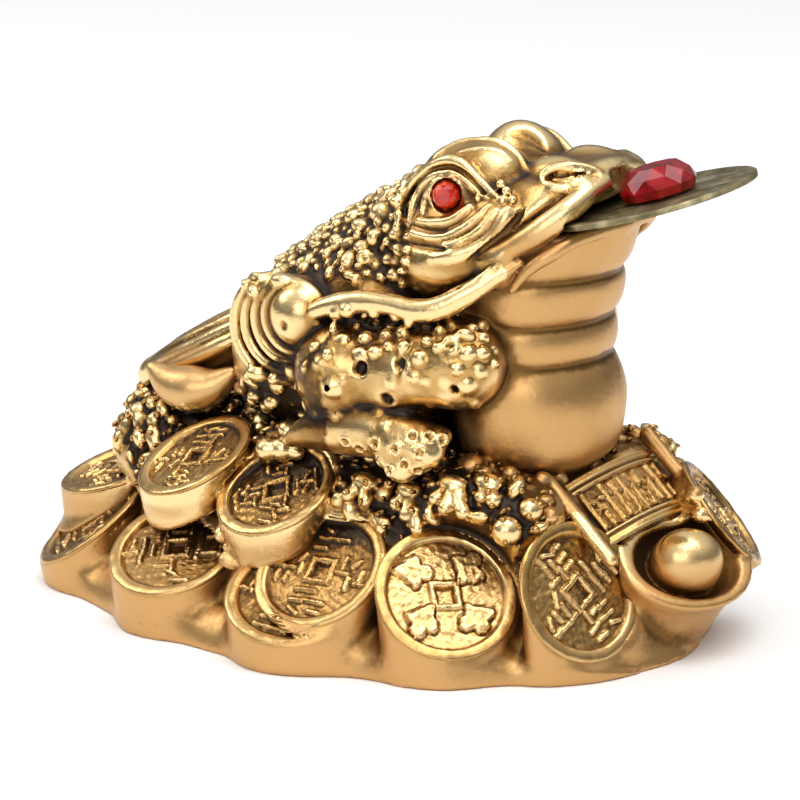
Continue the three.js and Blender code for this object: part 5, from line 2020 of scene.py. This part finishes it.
coin_stone = cut_stone(
    "coin_stone", GEM_RADIUS, GEM_HEIGHT, COIN_STONE_ROWS, gem_place, COIN_UP, COIN_STONE_SPIN)
eye_stones = [
    cut_stone(name, EYE_GEM_RADIUS, EYE_GEM_HEIGHT, EYE_STONE_ROWS, *eye_place(side, -EYE_GEM_SEAT))
    for side, name in ((-1, "eye_stone_right"), (1, "eye_stone_left"))
]
print("stones cut:", 1 + len(eye_stones))

# %% [markdown]
# ## Two reds
#
# The stone on the coin is a deep red and the eyes are brighter and more orange. Both are clear plastic
# with a foil behind, which can't be seen into far, so the colour is on the surface and only a third of
# the light goes through. A soft cloud between a dark and a bright red stands in for the foil's depth.

# %% Red plastic
def stone_material(name, dark, bright):
    material, tree, place = new_material(name, bright)
    cloud = noise_on(tree, place, 500, 2)
    finish_surface(tree, {
        "Base Color": colours_from(tree, cloud, ((0.35, dark), (0.65, bright))), "Roughness": 0.06,
        "Transmission Weight": 0.3, "IOR": 1.5, "Specular IOR Level": 0.4,
    })
    return material


coin_stone.data.materials.append(stone_material("red_stone", (0.2, 0.0, 0.004), (0.5, 0.008, 0.012)))
eye_red = stone_material("orange_red_stone", (0.5, 0.01, 0.004), (0.9, 0.06, 0.012))
for piece in eye_stones:
    piece.data.materials.append(eye_red)
print("reds:", coin_stone.data.materials[0].name, "and", eye_red.name)

# %% [markdown]
# ## The photographer's table
#
# The photograph was taken on white. The table is one wide pale plane, with a cloud in its white that
# is too faint to see, so that it isn't quite one even tone. It only takes the shadow and throws light
# back up under the heap, and it isn't part of the object.

# %% Table
TABLE_SIZE = 6
TABLE_WHITES = ((0, (0.95, 0.95, 0.95)), (1, (0.97, 0.97, 0.97)))

bpy.ops.mesh.primitive_plane_add(size=TABLE_SIZE, location=(0, 0, 0))
table = bpy.context.object
table.name = "table"
white, tree, place = new_material("white_table", (0.9, 0.9, 0.9))
finish_surface(tree, {
    "Base Color": colours_from(tree, noise_on(tree, place, 3, 2), TABLE_WHITES),
    "Roughness": 0.7, "Specular IOR Level": 0.2,
})
table.data.materials.append(white)
print("table, m:", TABLE_SIZE)

# %% [markdown]
# ## Lights and world
#
# Three large soft lights stand above, in front and on the left. The world is bright above and darker
# beside the camera, because polished gold shows little colour of its own: it needs both light and
# dark things to mirror. Only what the camera sees directly is plain white, which the Light Path node
# tells apart.

# %% Lights and world
def soft_box(name, turn, rise, distance, size, power):
    light = bpy.data.lights.new(name, "AREA")
    light.shape = "RECTANGLE"
    light.size, light.size_y = size
    light.energy = power
    lamp = bpy.data.objects.new(name, light)
    turn, rise = math.radians(turn), math.radians(rise)
    away = Vector((math.cos(rise) * math.cos(turn), math.cos(rise) * math.sin(turn), math.sin(rise)))
    lamp.location = away * distance + Vector((0, 0, 0.03))
    lamp.rotation_euler = away.to_track_quat("Z", "Y").to_euler()
    bpy.context.scene.collection.objects.link(lamp)


soft_box("top_light", -20, 76, 0.7, (0.55, 0.55), 3.0)
soft_box("front_light", -72, 24, 0.8, (0.7, 0.45), 2.3)
soft_box("left_light", -160, 40, 0.8, (0.35, 0.5), 1.6)

world = bpy.data.worlds.new("studio")
world.use_nodes = True
bpy.context.scene.world = world
tree = world.node_tree
tree.nodes.clear()
direction = add_node(tree, "ShaderNodeTexCoord").outputs["Generated"]
parts = add_node(tree, "ShaderNodeSeparateXYZ", None, {0: direction})
bright = add_node(tree, "ShaderNodeMapRange", {"interpolation_type": "SMOOTHSTEP"}, {
    "Value": parts.outputs["Z"], "From Min": 0.1, "From Max": 0.8, "To Min": 0.16, "To Max": 0.98,
})
sight = add_node(tree, "ShaderNodeLightPath").outputs["Is Camera Ray"]
level = add_node(tree, "ShaderNodeMix", {"data_type": "FLOAT"}, {0: sight, 2: bright.outputs[0], 3: 1.0})
sky = add_node(tree, "ShaderNodeBackground", None, {"Strength": level.outputs[0]})
add_node(tree, "ShaderNodeOutputWorld", None, {"Surface": sky.outputs[0]})
bpy.context.scene.view_settings.view_transform = "Standard"
print("lights set")

# %% [markdown]
# ## Joining the frame
#
# Each piece rides on the CAD's one body, and the CAD solid that it stands for is hidden. The visible
# box is measured last.

for piece in (toad_piece, heap_piece, scroll_piece, grains, *coin_pieces):
    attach(piece, "root")
    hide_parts("toad_casting")
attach(mouth_coin, "root")
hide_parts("mouth_coin")
for piece, solid in (
    (coin_stone, "coin_gem"), (eye_stones[0], "eye_gem_right"), (eye_stones[1], "eye_gem_left"),
):
    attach(piece, "root")
    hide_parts(solid)
table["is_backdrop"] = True

low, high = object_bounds()
print("visual box, mm:", [round(1000 * v, 1) for v in (*low, *high)])
